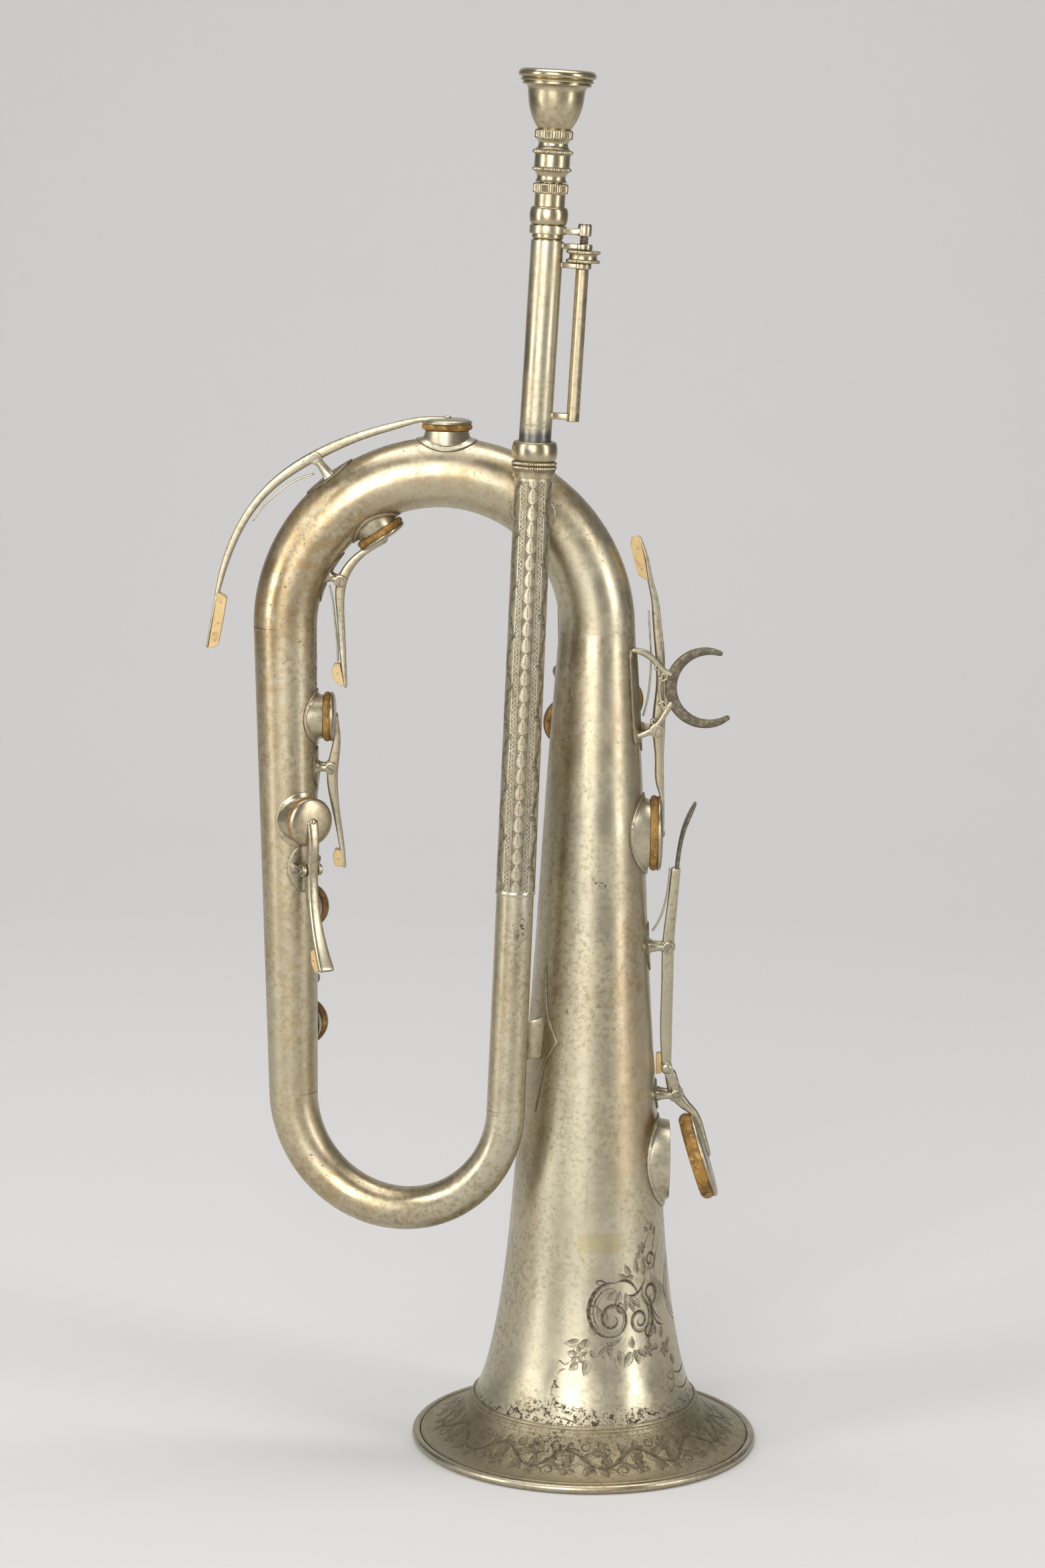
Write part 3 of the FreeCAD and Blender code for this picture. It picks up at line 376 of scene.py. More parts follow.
class Paint:
    """A material and short ways to add nodes to it."""

    def __init__(self, name, metallic=0.0, specular=0.5):
        self.material = bpy.data.materials.new(name)
        self.material.use_nodes = True
        self.tree = self.material.node_tree
        self.tree.nodes.clear()
        self.shader = self.tree.nodes.new("ShaderNodeBsdfPrincipled")
        self.shader.inputs["Metallic"].default_value = metallic
        self.shader.inputs["Specular IOR Level"].default_value = specular
        out = self.tree.nodes.new("ShaderNodeOutputMaterial")
        self.tree.links.new(self.shader.outputs[0], out.inputs[0])
        self.where = self.tree.nodes.new("ShaderNodeTexCoord").outputs["Object"]

    def feed(self, socket, value):
        if isinstance(value, bpy.types.NodeSocket):
            self.tree.links.new(value, socket)
        else:
            socket.default_value = value

    def set(self, word, value):
        self.feed(self.shader.inputs[word], value)

    def stretch(self, scale):
        node = self.tree.nodes.new("ShaderNodeMapping")
        self.feed(node.inputs["Vector"], self.where)
        node.inputs["Scale"].default_value = scale
        return node.outputs[0]

    def noise(self, scale, detail=3.0, rough=0.55, at=None, warp=0.0):
        node = self.tree.nodes.new("ShaderNodeTexNoise")
        self.feed(node.inputs["Vector"], at or self.where)
        node.inputs["Scale"].default_value = scale
        node.inputs["Detail"].default_value = detail
        node.inputs["Roughness"].default_value = rough
        node.inputs["Distortion"].default_value = warp
        return node.outputs["Fac"]

    def cells(self, scale):
        node = self.tree.nodes.new("ShaderNodeTexVoronoi")
        self.feed(node.inputs["Vector"], self.where)
        node.inputs["Scale"].default_value = scale
        return node.outputs["Distance"]

    def value(self, word):
        node = self.tree.nodes.new("ShaderNodeAttribute")
        node.attribute_name = word
        return node.outputs["Fac"]

    def span(self, source, low, high, to_low=0.0, to_high=1.0):
        node = self.tree.nodes.new("ShaderNodeMapRange")
        node.interpolation_type = "SMOOTHSTEP"
        for socket, value in zip(node.inputs, (source, low, high, to_low, to_high)):
            self.feed(socket, value)
        return node.outputs[0]

    def sum(self, kind, a, b):
        node = self.tree.nodes.new("ShaderNodeMath")
        node.operation = kind
        node.use_clamp = True
        self.feed(node.inputs[0], a)
        self.feed(node.inputs[1], b)
        return node.outputs[0]

    def mix(self, factor, a, b):
        node = self.tree.nodes.new("ShaderNodeMix")
        node.data_type = "RGBA"
        sockets = [s for s in node.inputs if s.enabled]
        for socket, value in zip(sockets, (factor, a, b)):
            self.feed(socket, value)
        return next(s for s in node.outputs if s.enabled)

    def bump(self, height, distance, strength=1.0, on=None):
        node = self.tree.nodes.new("ShaderNodeBump")
        node.inputs["Strength"].default_value = strength
        node.inputs["Distance"].default_value = distance
        self.feed(node.inputs["Height"], height)
        if on:
            self.feed(node.inputs["Normal"], on)
        return node.outputs[0]


def colour(red, green, blue):
    return (red, green, blue, 1.0)


def aged_metal(name, base, warm, stain_and_shade, gloss=0.34, specks=0.5, warmth=0.5, grime=0.0):
    """Old metal: warm clouds, mottling, pits, dark dirt in its cuts, painted shade where a mesh's
    values ask for it, and a worn sheen.
    """
    p = Paint(name, metallic=1.0)
    clouds = p.span(p.noise(14, 3, 0.6, warp=0.4), 0.42, 0.70)
    tint = p.sum("ADD", p.sum("MULTIPLY", clouds, warmth), p.value("warm"))
    flecks = p.span(p.noise(230, 4, 0.7), 0.40, 0.60, 0.45, 1.0)
    body = p.mix(p.sum("MULTIPLY", tint, flecks), base, warm)
    shade = colour(base[0] * 0.42, base[1] * 0.38, base[2] * 0.30)
    fine = p.span(p.noise(520, 5, 0.7), 0.44, 0.66)
    mottle = p.sum("MULTIPLY", fine, p.span(p.noise(30, 3), 0.32, 0.68, 0.16, 0.62))
    body = p.mix(mottle, body, shade)
    scratch = p.noise(260, 2, 0.5, at=p.stretch((1, 1, 0.06)))
    body = p.mix(p.span(scratch, 0.62, 0.78, 0, 0.22), body, shade)
    pits = p.span(p.noise(1150, 2, 0.5), 0.64, 0.71)
    # The dirt value darkens pits, crust and colour below; on the bell it also holds painted shadow
    # of the mouthpipe.
    where_pits = p.sum("ADD", p.span(p.noise(24, 3, 0.6), 0.44, 0.68, 0.05, specks),
                       p.value("dirt"))
    scale = p.span(p.noise(620, 5, 0.74), 0.60, 0.50)
    crust = p.sum("MULTIPLY", p.span(p.value("dirt"), 0.30, 1.0),
                  p.sum("SUBTRACT", 1.0, scale))
    dark = p.sum("MAXIMUM", p.sum("MULTIPLY", pits, where_pits), crust)
    dark = p.sum("ADD", dark, p.sum("MULTIPLY", p.value("dirt"), 0.26))
    cuts = p.sum("MULTIPLY", p.value("oxide"), p.span(p.noise(700, 2), 0.3, 0.6, 0.72, 1.0))
    dark = p.sum("MAXIMUM", p.sum("ADD", dark, grime), cuts)
    bright = colour(*(min(part * 1.22, 1) for part in base[:3]))
    body = p.mix(p.sum("MULTIPLY", p.value("wear"), 0.7), body, bright)
    ragged = p.sum("ADD", p.value("patch"), p.span(p.noise(190, 6, 0.75), 0.38, 0.62, -0.45, 0.35))
    body = p.mix(p.span(ragged, 0.45, 0.53, 0, 0.5), body, colour(0.54, 0.42, 0.27))
    body = p.mix(p.sum("MULTIPLY", p.value("tape"), 0.5), body, colour(0.52, 0.43, 0.22))
    # The darkest colour serves for oxide, dirt and painted shade alike.
    body = p.mix(dark, body, stain_and_shade)
    lead = p.sum("MULTIPLY", p.value("lead"), p.span(p.noise(400, 4, 0.7), 0.3, 0.5, 0.6, 1.0))
    p.set("Base Color", p.mix(lead, body, colour(0.15, 0.145, 0.14)))
    rough = p.span(p.noise(60, 4, 0.6), 0.3, 0.7, gloss - 0.06, gloss + 0.10)
    p.set("Roughness", p.sum("ADD", rough, p.sum("MULTIPLY", dark, 0.30)))
    p.set("Metallic", p.sum("SUBTRACT", 1.0, p.sum("MULTIPLY", dark, 0.45)))
    grain = p.bump(p.noise(900, 3), 0.00004, 0.35)
    dents = p.bump(p.noise(40, 2), 0.0006, 0.20, on=grain)
    p.set("Normal", p.bump(dark, 0.00006, 0.6, on=dents))
    return p.material


def leather_paint(name, base, dark, light):
    """Blotchy, wrinkled leather, darker at its edge, pale where patch says so."""
    p = Paint(name, specular=0.35)
    blotch = p.span(p.noise(160, 4, 0.65, warp=0.6), 0.36, 0.66)
    body = p.mix(blotch, dark, base)
    body = p.mix(p.span(p.noise(520, 3, 0.6), 0.52, 0.70, 0, 0.75), body, light)
    body = p.mix(p.span(p.noise(900, 2, 0.5), 0.66, 0.72, 0, 0.85), body,
                 colour(0.03, 0.018, 0.008))
    body = p.mix(p.value("edge"), body, colour(0.10, 0.045, 0.012))
    body = p.mix(p.value("patch"), body, colour(0.78, 0.62, 0.36))
    p.set("Base Color", body)
    p.set("Roughness", p.span(p.noise(300, 3), 0.3, 0.7, 0.42, 0.72))
    wrinkle = p.bump(p.cells(950), 0.00012, 0.5)
    p.set("Normal", p.bump(p.noise(240, 4, 0.6), 0.0004, 0.45, on=wrinkle))
    return p.material


def ivory_paint():
    """Yellowed, long-grained ivory with brown stains."""
    p = Paint("ivory_aged", specular=0.5)
    grain = p.noise(90, 5, 0.6, at=p.stretch((1.0, 6.0, 0.4)), warp=0.8)
    body = p.mix(p.span(grain, 0.35, 0.68), colour(0.56, 0.38, 0.15), colour(0.64, 0.47, 0.22))
    body = p.mix(p.span(p.noise(200, 4), 0.56, 0.75, 0, 0.6), body, colour(0.33, 0.18, 0.055))
    p.set("Base Color", body)
    p.set("Roughness", p.span(p.noise(300, 2), 0.3, 0.7, 0.28, 0.46))
    p.set("Normal", p.bump(grain, 0.0001, 0.3))
    return p.material


NICKEL = colour(0.56, 0.515, 0.385)
NICKEL_WARM = colour(0.44, 0.325, 0.180)
# Darkest tone: oxide and dirt, and painted shade on the bell.
OXIDE_AND_SHADE = colour(0.060, 0.046, 0.028)
SILVER = aged_metal("german_silver_aged", NICKEL, NICKEL_WARM, OXIDE_AND_SHADE)
SILVER_TARNISHED = aged_metal("german_silver_tarnished", colour(0.40, 0.35, 0.235),
                              colour(0.32, 0.24, 0.13), OXIDE_AND_SHADE, gloss=0.38, warmth=0.6,
                              grime=0.06)
SILVER_KEYS = aged_metal("german_silver_keys", colour(0.47, 0.43, 0.32), NICKEL_WARM, OXIDE_AND_SHADE,
                         gloss=0.32, specks=0.7, grime=0.03)
BRASSY = aged_metal("nickel_brassy", colour(0.52, 0.455, 0.31), colour(0.42, 0.30, 0.16),
                    OXIDE_AND_SHADE, gloss=0.27, specks=0.3)
STEEL = aged_metal("steel_screw", colour(0.36, 0.33, 0.27), colour(0.26, 0.18, 0.10),
                   colour(0.05, 0.04, 0.03), gloss=0.34, grime=0.05)
LEATHER = leather_paint("leather_golden", colour(0.40, 0.215, 0.045), colour(0.15, 0.072, 0.016),
                        colour(0.58, 0.38, 0.11))
IVORY = ivory_paint()


# -------------------------------------------------------------- main tubes

WALL = 0.7
BELL_LINE = [(12.9, 285.0), (14.3, 265.0), (16.4, 232.7), (18.0, 203.7), (19.9, 168.7),
             (22.4, 133.4), (25.3, 97.8), (28.4, 61.7), (30.9, 43.6), (33.2, 31.7),
             (36.0, 21.8), (39.6, 14.4), (43.4, 9.7), (48.0, 6.0), (52.8, 3.5), (56.9, 2.2)]
TOP_R, BOW_LEVEL = 52.8, 285.0
BRANCH_TOP, BRANCH_LOW = Vector((-2 * TOP_R, 0, BOW_LEVEL)), Vector((-102.2, 0, 123.5))
PIPE_LOW, PIPE_TOP = Vector((-28.7, -22, 123.5)), Vector((-22.2, -22, 342.0))
PIPE_RUN = (PIPE_TOP - PIPE_LOW).normalized()


def key_of(tube, stand, turn, mouth, aim, depth, pad, chimney, flange, rise, pivot, lug_aim,
           foot, path):
    """A key's facts: its tube and plane, its tone hole, its pivot and its lever."""
    turn, aim = math.radians(turn), math.radians(aim)
    plane = Matrix.Translation((stand, 0, 0)) @ Matrix.Rotation(turn, 4, "Z")
    out = plane.to_3x3() @ Vector((math.cos(aim), 0, math.sin(aim)))
    side = plane.to_3x3() @ Vector((0, 1, 0))
    hole = place_at(plane @ Vector((mouth[0], 0, mouth[1])), out, out.cross(side))
    return dict(tube=tube, plane=plane, hole=hole, out=out, side=side, depth=depth, pad=pad,
                chimney=chimney, flange=flange, rise=rise, pivot=pivot,
                lug_aim=math.radians(lug_aim), foot=foot, path=path)


KEYS = {
    "key_1": key_of("top_bow", 0, 0, (-51.5, 352.0), 90, 14.2, 8.2, 7.4, 10.2, 2.4,
                    (-95.6, 342.2), 127, (9.6, 5.4),
                    [(-52.0, 355.9, 4.6, 1.2), (-60.2, 355.5, 4.0, 1.6),
                     (-66.5, 354.0, 3.8, 2.2), (-78.3, 350.5, 4.0, 2.7),
                     (-96.2, 342.6, 4.2, 3.4), (-111.6, 331.4, 4.2, 2.8),
                     (-122.6, 315.1, 4.6, 2.5), (-127.2, 302.0, 5.2, 2.0),
                     (-129.2, 293.0, 6.0, 1.2), (-130.5, 286.0, 6.4, 0.9),
                     (-131.8, 278.0, 6.2, 0.8)]),
    "key_2": key_of("top_bow", 0, 0, (-74.5, 318.2), -56.8, 13.2, 8.4, 7.2, 9.6, 2.4,
                    (-87.0, 300.9), -20, (9.4, 4.6),
                    [(-72.2, 314.6, 4.0, 1.8), (-79.9, 310.0, 3.8, 2.4),
                     (-86.4, 301.0, 4.0, 3.4), (-87.0, 290.0, 4.0, 2.5),
                     (-86.2, 278.0, 4.2, 2.2), (-85.6, 270.5, 4.8, 1.6),
                     (-85.0, 264.9, 5.0, 1.0)]),
    "key_3": key_of("left_branch", -104.9, 0, (12.4, 254.2), 0, 12.4, 8.2, 7.5, 9.7, 2.6,
                    (15.0, 236.9), 0, (7.2, 5.0),
                    [(16.3, 254.2, 4.0, 1.8), (16.9, 246.0, 3.8, 2.5), (15.6, 237.0, 4.0, 3.6),
                     (16.8, 222.0, 4.0, 2.4), (19.0, 209.0, 4.8, 1.6),
                     (19.9, 202.8, 5.0, 1.0)]),
    "key_4": key_of("left_branch", -104.2, -57, (12.2, 219.9), 0, 12.2, 8.0, 7.3, 9.6, 2.6,
                    (15.0, 203.4), 0, (8.6, 5.2),
                    [(16.1, 219.9, 4.0, 1.8), (16.8, 212.0, 3.8, 2.5), (15.6, 203.4, 4.0, 3.6),
                     (17.4, 190.0, 4.0, 2.6), (21.6, 178.5, 4.8, 2.2), (26.0, 171.0, 5.6, 1.7)]),
    "key_5": key_of("left_branch", -102.9, 73, (11.3, 145.2), 0, 11.3, 8.0, 7.2, 9.2, 2.6,
                    (14.2, 160.4), 0, (6.4, 4.6),
                    [(15.2, 145.2, 4.0, 1.8), (15.9, 153.0, 3.8, 2.5), (14.8, 160.4, 4.0, 3.6),
                     (16.4, 167.0, 4.0, 2.6), (20.4, 173.6, 5.0, 1.8)]),
    "key_6": key_of("bell", 0, 0, (19.1, 215.4), 0, 19.1, 12.6, 11.7, 14.1, 2.8,
                    (20.6, 251.8), 0, (8.0, 4.3),
                    [(23.5, 216.0, 4.6, 1.0), (23.4, 224.0, 4.4, 1.2), (23.1, 228.4, 4.0, 1.5),
                     (22.4, 232.5, 3.8, 2.6), (22.0, 241.0, 3.8, 2.9), (21.6, 252.0, 4.0, 4.2),
                     (22.0, 266.0, 4.0, 3.2), (21.4, 278.0, 4.2, 3.1), (20.2, 289.0, 4.4, 2.8),
                     (19.3, 296.0, 4.8, 2.4), (17.7, 302.4, 5.4, 1.9), (16.1, 310.4, 6.0, 1.4),
                     (13.9, 316.8, 5.6, 0.8)]),
    "key_8": key_of("bell", 0, 62, (17.4, 259.0), 0, 17.4, 7.8, 7.0, 9.0, 2.6,
                    (20.0, 242.0), 0, (6.8, 4.8),
                    [(21.3, 259.0, 4.0, 1.8), (21.9, 251.0, 3.8, 2.5), (20.8, 242.0, 4.0, 3.6),
                     (22.6, 226.0, 4.0, 2.6), (25.6, 206.0, 5.0, 1.8)]),
    "key_9": key_of("bell", 0, 122, (17.7, 251.0), 0, 17.7, 7.8, 7.0, 9.0, 2.6,
                    (19.8, 268.5), 0, (6.8, 4.8),
                    [(21.6, 251.0, 4.0, 1.8), (22.0, 259.0, 3.8, 2.5), (20.6, 268.5, 4.0, 3.6),
                     (20.8, 284.0, 4.0, 2.6), (22.4, 304.0, 5.0, 1.8)]),
    "key_10": key_of("left_branch", -103.6, 70, (11.9, 186.0), 0, 11.9, 8.0, 7.2, 9.3, 2.6,
                     (14.6, 202.4), 0, (6.8, 4.8),
                     [(15.8, 186.0, 4.0, 1.8), (16.4, 194.0, 3.8, 2.5), (15.2, 202.4, 4.0, 3.6),
                      (16.6, 217.0, 4.0, 2.6), (19.8, 233.0, 5.0, 1.8)]),
}
BELL_KEY = key_of("bell", 0, 0, (28.0, 100.6), 0, 28.0, 15.0, 13.7, 16.3, 4.6,
                  (30.0, 124.0), 0, (5.3, 5.0),
                  [(30.1, 131.0, 4.0, 3.8), (30.0, 124.0, 4.0, 4.2), (31.9, 119.2, 4.0, 3.2),
                   (34.0, 115.6, 4.4, 2.2), (34.6, 108.0, 5.0, 2.0), (34.6, 100.6, 6.0, 1.4)])
ALL_KEYS = dict(KEYS, bell_key=BELL_KEY)
TOUCH_PIVOT, TOUCH_FOOT, OPEN = (26.2, 176.1), (8.6, 5.4), math.radians(18)


def tube_shell(centres, axes, angles, wall=WALL):
    """A tube's outer and inner skins round a line of (centre, radius) rows."""
    skins = []
    for inset in (0.0, wall):
        rows = [np.asarray(c) + (r - inset) * (np.outer(np.cos(angles), a) +
                                               np.outer(np.sin(angles), b))
                for (c, r), (a, b) in zip(centres, axes)]
        skins.append(np.concatenate(rows))
    count, columns = len(centres), len(angles)
    outer = grid_faces(count, columns)
    inner = [tuple(i + count * columns for i in face[::-1]) for face in outer]
    return skins[0], skins[1], outer, inner


def rim_faces(rows, columns):
    """The rings that close a tube's two skins at both its ends."""
    faces, start = [], rows * columns
    for row in (0, rows - 1):
        for c in range(columns):
            d = (c + 1) % columns
            a, b = row * columns + c, row * columns + d
            faces.append((b, a, start + a, start + b) if row == 0 else
                         (a, b, start + b, start + a))
    return faces


def drilled(points, faces, tube):
    """Open the tone holes of a tube's keys and draw the edges on to true circles."""
    points, face_array = points.copy(), np.array(faces)
    keep = np.ones(len(face_array), bool)
    for key in ALL_KEYS.values():
        if key["tube"] != tube:
            continue
        inverse = np.array(key["hole"].inverted())
        local = points @ inverse[:3, :3].T + inverse[:3, 3]
        middle = local[face_array].mean(1)
        radius = key["chimney"] - 0.4
        inside = (np.hypot(middle[:, 0], middle[:, 1]) < radius) & \
            (middle[:, 2] > -key["depth"] * 0.85)
        cut = np.zeros(len(points), bool)
        cut[face_array[inside].ravel()] = True
        left = np.zeros(len(points), bool)
        left[face_array[keep & ~inside].ravel()] = True
        edge = np.nonzero(cut & left)[0]
        gap = np.hypot(local[edge, 0], local[edge, 1])
        local[edge, :2] *= (radius / gap)[:, None]
        points[edge] = moved(local[edge], key["hole"])
        keep &= ~inside
    return points, [face for face, kept in zip(faces, keep) if kept]


def arc_rows(centre, radius, start, end, first, last, count, across):
    """Rows of a bow: an arc in the plane of across and Z, its tube growing evenly."""
    rows, axes = [], []
    for i in range(count):
        t = i / (count - 1)
        angle = math.radians(start + (end - start) * t)
        out = Vector(across) * math.cos(angle) + Vector((0, 0, 1)) * math.sin(angle)
        side = Vector(across).cross((0, 0, 1))
        rows.append((Vector(centre) + out * radius, first + (last - first) * t))
        axes.append((out, side))
    return rows, axes


def straight_rows(low, top, low_radius, top_radius, count, levels=None):
    run = (Vector(top) - Vector(low)).normalized()
    x = (Vector((1, 0, 0)) - run * run.x).normalized()
    steps = np.linspace(0, 1, count) if levels is None else levels
    rows = [(Vector(low).lerp(Vector(top), t), low_radius + (top_radius - low_radius) * t)
            for t in steps]
    return rows, [(x, run.cross(x))] * len(rows)


def even_angles(count):
    return np.arange(count) / count * TAU


TREES = {}


def tube_piece(name, rows, axes, angles, material, mark=None, stands_for=None):
    """Add one main tube, its holes opened; mark(points) gives its values."""
    outer, inner, out_faces, in_faces = tube_shell(rows, axes, angles)
    TREES[name] = BVHTree.FromPolygons(outer.tolist(), out_faces)
    points = np.concatenate([outer, inner])
    points, faces = drilled(points, out_faces + in_faces, name)
    faces += rim_faces(len(rows), len(angles))
    values = mark(points) if mark else {}
    return add(name + "_tube", [Shape(points, faces, **values)], material,
               stands_for=stands_for or (name,), crease=60)


# The bell's grid is fine where it is engraved and plain elsewhere.
profile = spline(BELL_LINE, 2000)
lengths = run_lengths(profile)
ENGRAVED_LOW, ENGRAVED_TOP = 20.0, 88.0
steps = []
at = 0.0
while at < lengths[-1]:
    level = np.interp(at, lengths, profile[:, 1])
    steps.append(at)
    at += 0.34 if ENGRAVED_LOW < level < ENGRAVED_TOP else (1.0 if level < 24 else 2.2)
steps.append(lengths[-1])
bell_rows = [(Vector((0, 0, np.interp(s, lengths, profile[:, 1]))),
              float(np.interp(s, lengths, profile[:, 0]))) for s in steps]
ENGRAVED_HALF = math.radians(112)
bell_angles = np.concatenate([
    np.arange(-ENGRAVED_HALF, ENGRAVED_HALF, 0.34 / 31.5),
    np.linspace(ENGRAVED_HALF, TAU - ENGRAVED_HALF, 90)[:-1]])

UNROLL = 31.5


def ornament():
    """Half of the bell's engraved ornament, as strokes in (around, height)."""
    s = []
    s += scroll((-40.1, 51.6), 6.6, 200, 1.55, 0.55)
    s.append(arc_line((-40.6, 54.6), (8.4, 9.4), 75, 262, 0.75, 40))
    s.append(arc_line((-40.2, 54.2), (6.9, 7.9), 80, 235, 0.35, 36))
    s.append(curve_line([(-38.6, 63.8), (-34.8, 64.4), (-31.2, 62.6), (-29.0, 59.4)], 0.55))
    s.append(curve_line([(-44.8, 63.4), (-46.2, 64.6), (-45.0, 65.0), (-42.0, 63.6)], 0.45))
    s += scroll((-28.8, 50.0), 4.4, -20, -1.5, 0.5)
    s.append(arc_line((-28.6, 51.4), (6.4, 8.4), -75, 62, 0.70, 36))
    s.append(arc_line((-29.0, 51.8), (5.0, 6.8), -60, 75, 0.32, 30))
    s.append(curve_line([(-34.2, 59.4), (-31.4, 58.8), (-27.2, 60.8), (-24.6, 64.4)], 0.5))
    for x, z, turn, size, wide in (
            (-38.0, 61.5, 215, 5.4, 2.2), (-36.4, 61.0, 240, 6.2, 2.0),
            (-34.2, 60.2, 262, 6.0, 1.9), (-32.8, 58.2, 318, 6.4, 2.2),
            (-33.4, 57.0, 300, 5.0, 1.8), (-42.0, 50.2, 95, 4.6, 1.7),
            (-43.2, 52.4, 120, 4.0, 1.5), (-33.6, 64.8, 150, 4.6, 2.0),
            (-31.8, 66.2, 125, 4.4, 1.9), (-30.4, 65.2, 175, 4.2, 1.7),
            (-28.4, 66.0, 100, 5.6, 2.0), (-25.4, 64.4, 80, 7.4, 2.1),
            (-26.6, 71.4, 150, 3.0, 1.6), (-21.4, 79.8, 150, 3.0, 1.5),
            (-20.2, 79.4, 60, 3.4, 1.5), (-17.6, 77.2, 75, 3.6, 1.6),
            (-46.4, 46.2, 115, 4.6, 2.0), (-48.6, 44.8, 205, 4.4, 2.2),
            (-52.2, 44.8, 195, 5.2, 2.2), (-51.0, 42.2, 62, 3.8, 1.6),
            (-48.2, 41.6, 290, 3.6, 1.5), (-49.6, 38.2, 262, 5.4, 2.6),
            (-52.6, 37.4, 228, 3.8, 2.2), (-42.2, 42.4, 222, 5.6, 2.6),
            (-41.4, 42.4, 30, 5.6, 2.3), (-42.0, 42.0, 285, 4.0, 1.5),
            (-37.4, 40.8, 262, 5.0, 2.6), (-33.6, 40.0, 240, 5.8, 2.8),
            (-32.2, 40.4, 285, 5.4, 2.4), (-32.6, 41.0, 92, 4.0, 1.9),
            (-31.0, 40.0, 320, 4.4, 1.7), (-27.8, 39.8, 20, 3.6, 1.9),
            (-26.4, 41.4, 60, 3.6, 1.8), (-24.0, 39.6, 350, 3.4, 1.8),
            (-21.6, 43.8, 100, 5.0, 2.4), (-18.8, 41.6, 70, 4.6, 2.2),
            (-16.4, 38.8, 20, 3.8, 1.8), (-14.4, 34.6, 300, 4.2, 2.2)):
        s += leaf((x, z), math.radians(turn), size, wide, 5)
    for x, z, size, turn in ((-52.4, 39.8, 3.0, 0.4), (-41.8, 42.2, 1.8, 0.9),
                             (-25.8, 39.2, 2.2, 0.1), (-17.4, 37.6, 2.4, 0.7),
                             (-26.0, 74.4, 2.0, 0.2)):
        s += flower((x, z), size, 5, turn)
    for points, width in (
            ([(-26.2, 68.8), (-25.6, 72.0), (-23.4, 76.4), (-20.8, 79.2)], 0.28),
            ([(-23.6, 66.0), (-20.6, 70.4), (-17.8, 76.8), (-15.8, 80.6)], 0.30),
            ([(-19.6, 64.0), (-17.6, 70.0), (-14.0, 74.6)], 0.26),
            ([(-54.8, 37.8), (-57.0, 36.4), (-58.4, 37.4), (-59.6, 35.0)], 0.24),
            ([(-56.0, 35.0), (-58.0, 34.2), (-59.2, 32.4)], 0.26),
            ([(-44.2, 39.6), (-43.0, 37.6), (-43.8, 35.8)], 0.2),
            ([(-38.6, 38.6), (-39.4, 36.2), (-38.2, 34.4)], 0.2),
            ([(-22.2, 53.0), (-20.0, 47.6), (-16.2, 45.8)], 0.5),
            ([(-23.0, 57.6), (-20.4, 50.6), (-17.2, 47.6)], 0.3)):
        s.append(curve_line(points, width))
    s += scroll((-22.6, 58.4), 4.6, 150, 1.5, 0.5)
    s += scroll((-21.2, 69.6), 3.4, 230, 1.4, 0.4)
    s += scroll((-36.4, 55.4), 2.6, 40, -1.2, 0.32)
    s += scroll((-24.6, 45.4), 3.0, 330, 1.3, 0.38)
    s += scroll((-47.4, 54.6), 2.6, 300, 1.1, 0.36)
    for size in (0.94, 0.84, 0.66):
        s.append(arc_line((-40.4, 54.4), (8.4 * size, 9.4 * size), 85, 250, 0.2, 36))
        s.append(arc_line((-28.6, 51.4), (6.4 * size, 8.4 * size), -70, 60, 0.2, 30))
    for step in range(16):
        turn = math.radians(95 + step * 10)
        rim = np.array([-40.4 + 8.0 * math.cos(turn), 54.4 + 9.0 * math.sin(turn)])
        s.append(([rim, rim * 0.82 + np.array([-40.4, 54.4]) * 0.18], [0.2, 0.1], 0.85))
    for step in range(13):
        turn = math.radians(-64 + step * 10)
        rim = np.array([-28.6 + 6.1 * math.cos(turn), 51.4 + 8.0 * math.sin(turn)])
        s.append(([rim, rim * 0.80 + np.array([-28.6, 51.4]) * 0.20], [0.2, 0.1], 0.85))
    for step in range(9):
        x = -22.4 + step * 1.15
        s.append(curve_line([(x, 66.5 - step * 0.9), (x + 1.6, 60.5 - step * 0.6),
                             (x + 2.2, 52.5 + step * 0.15)], 0.24, 12))
    for size in (1.0, 0.86, 0.74):
        s.append(arc_line((0, 56.4), (12.2 * size, 12.4 * size), 90, 270, 0.34 * size, 44))
    for height in (29.6, 24.4):
        s.append(curve_line([(-15.6, height), (-10.0, height - 2.2), (-4.0, height - 1.8),
                             (0.4, height - 2.2)], 0.34))
    s.append(curve_line([(-15.6, 29.6), (-18.4, 28.4), (-16.2, 26.8), (-14.2, 28.4)], 0.3))
    s.append(curve_line([(-15.6, 24.4), (-18.2, 23.2), (-19.4, 25.6)], 0.3))
    s.append(curve_line([(-15.6, 29.6), (-15.0, 27.0), (-15.6, 24.4)], 0.24))
    return s


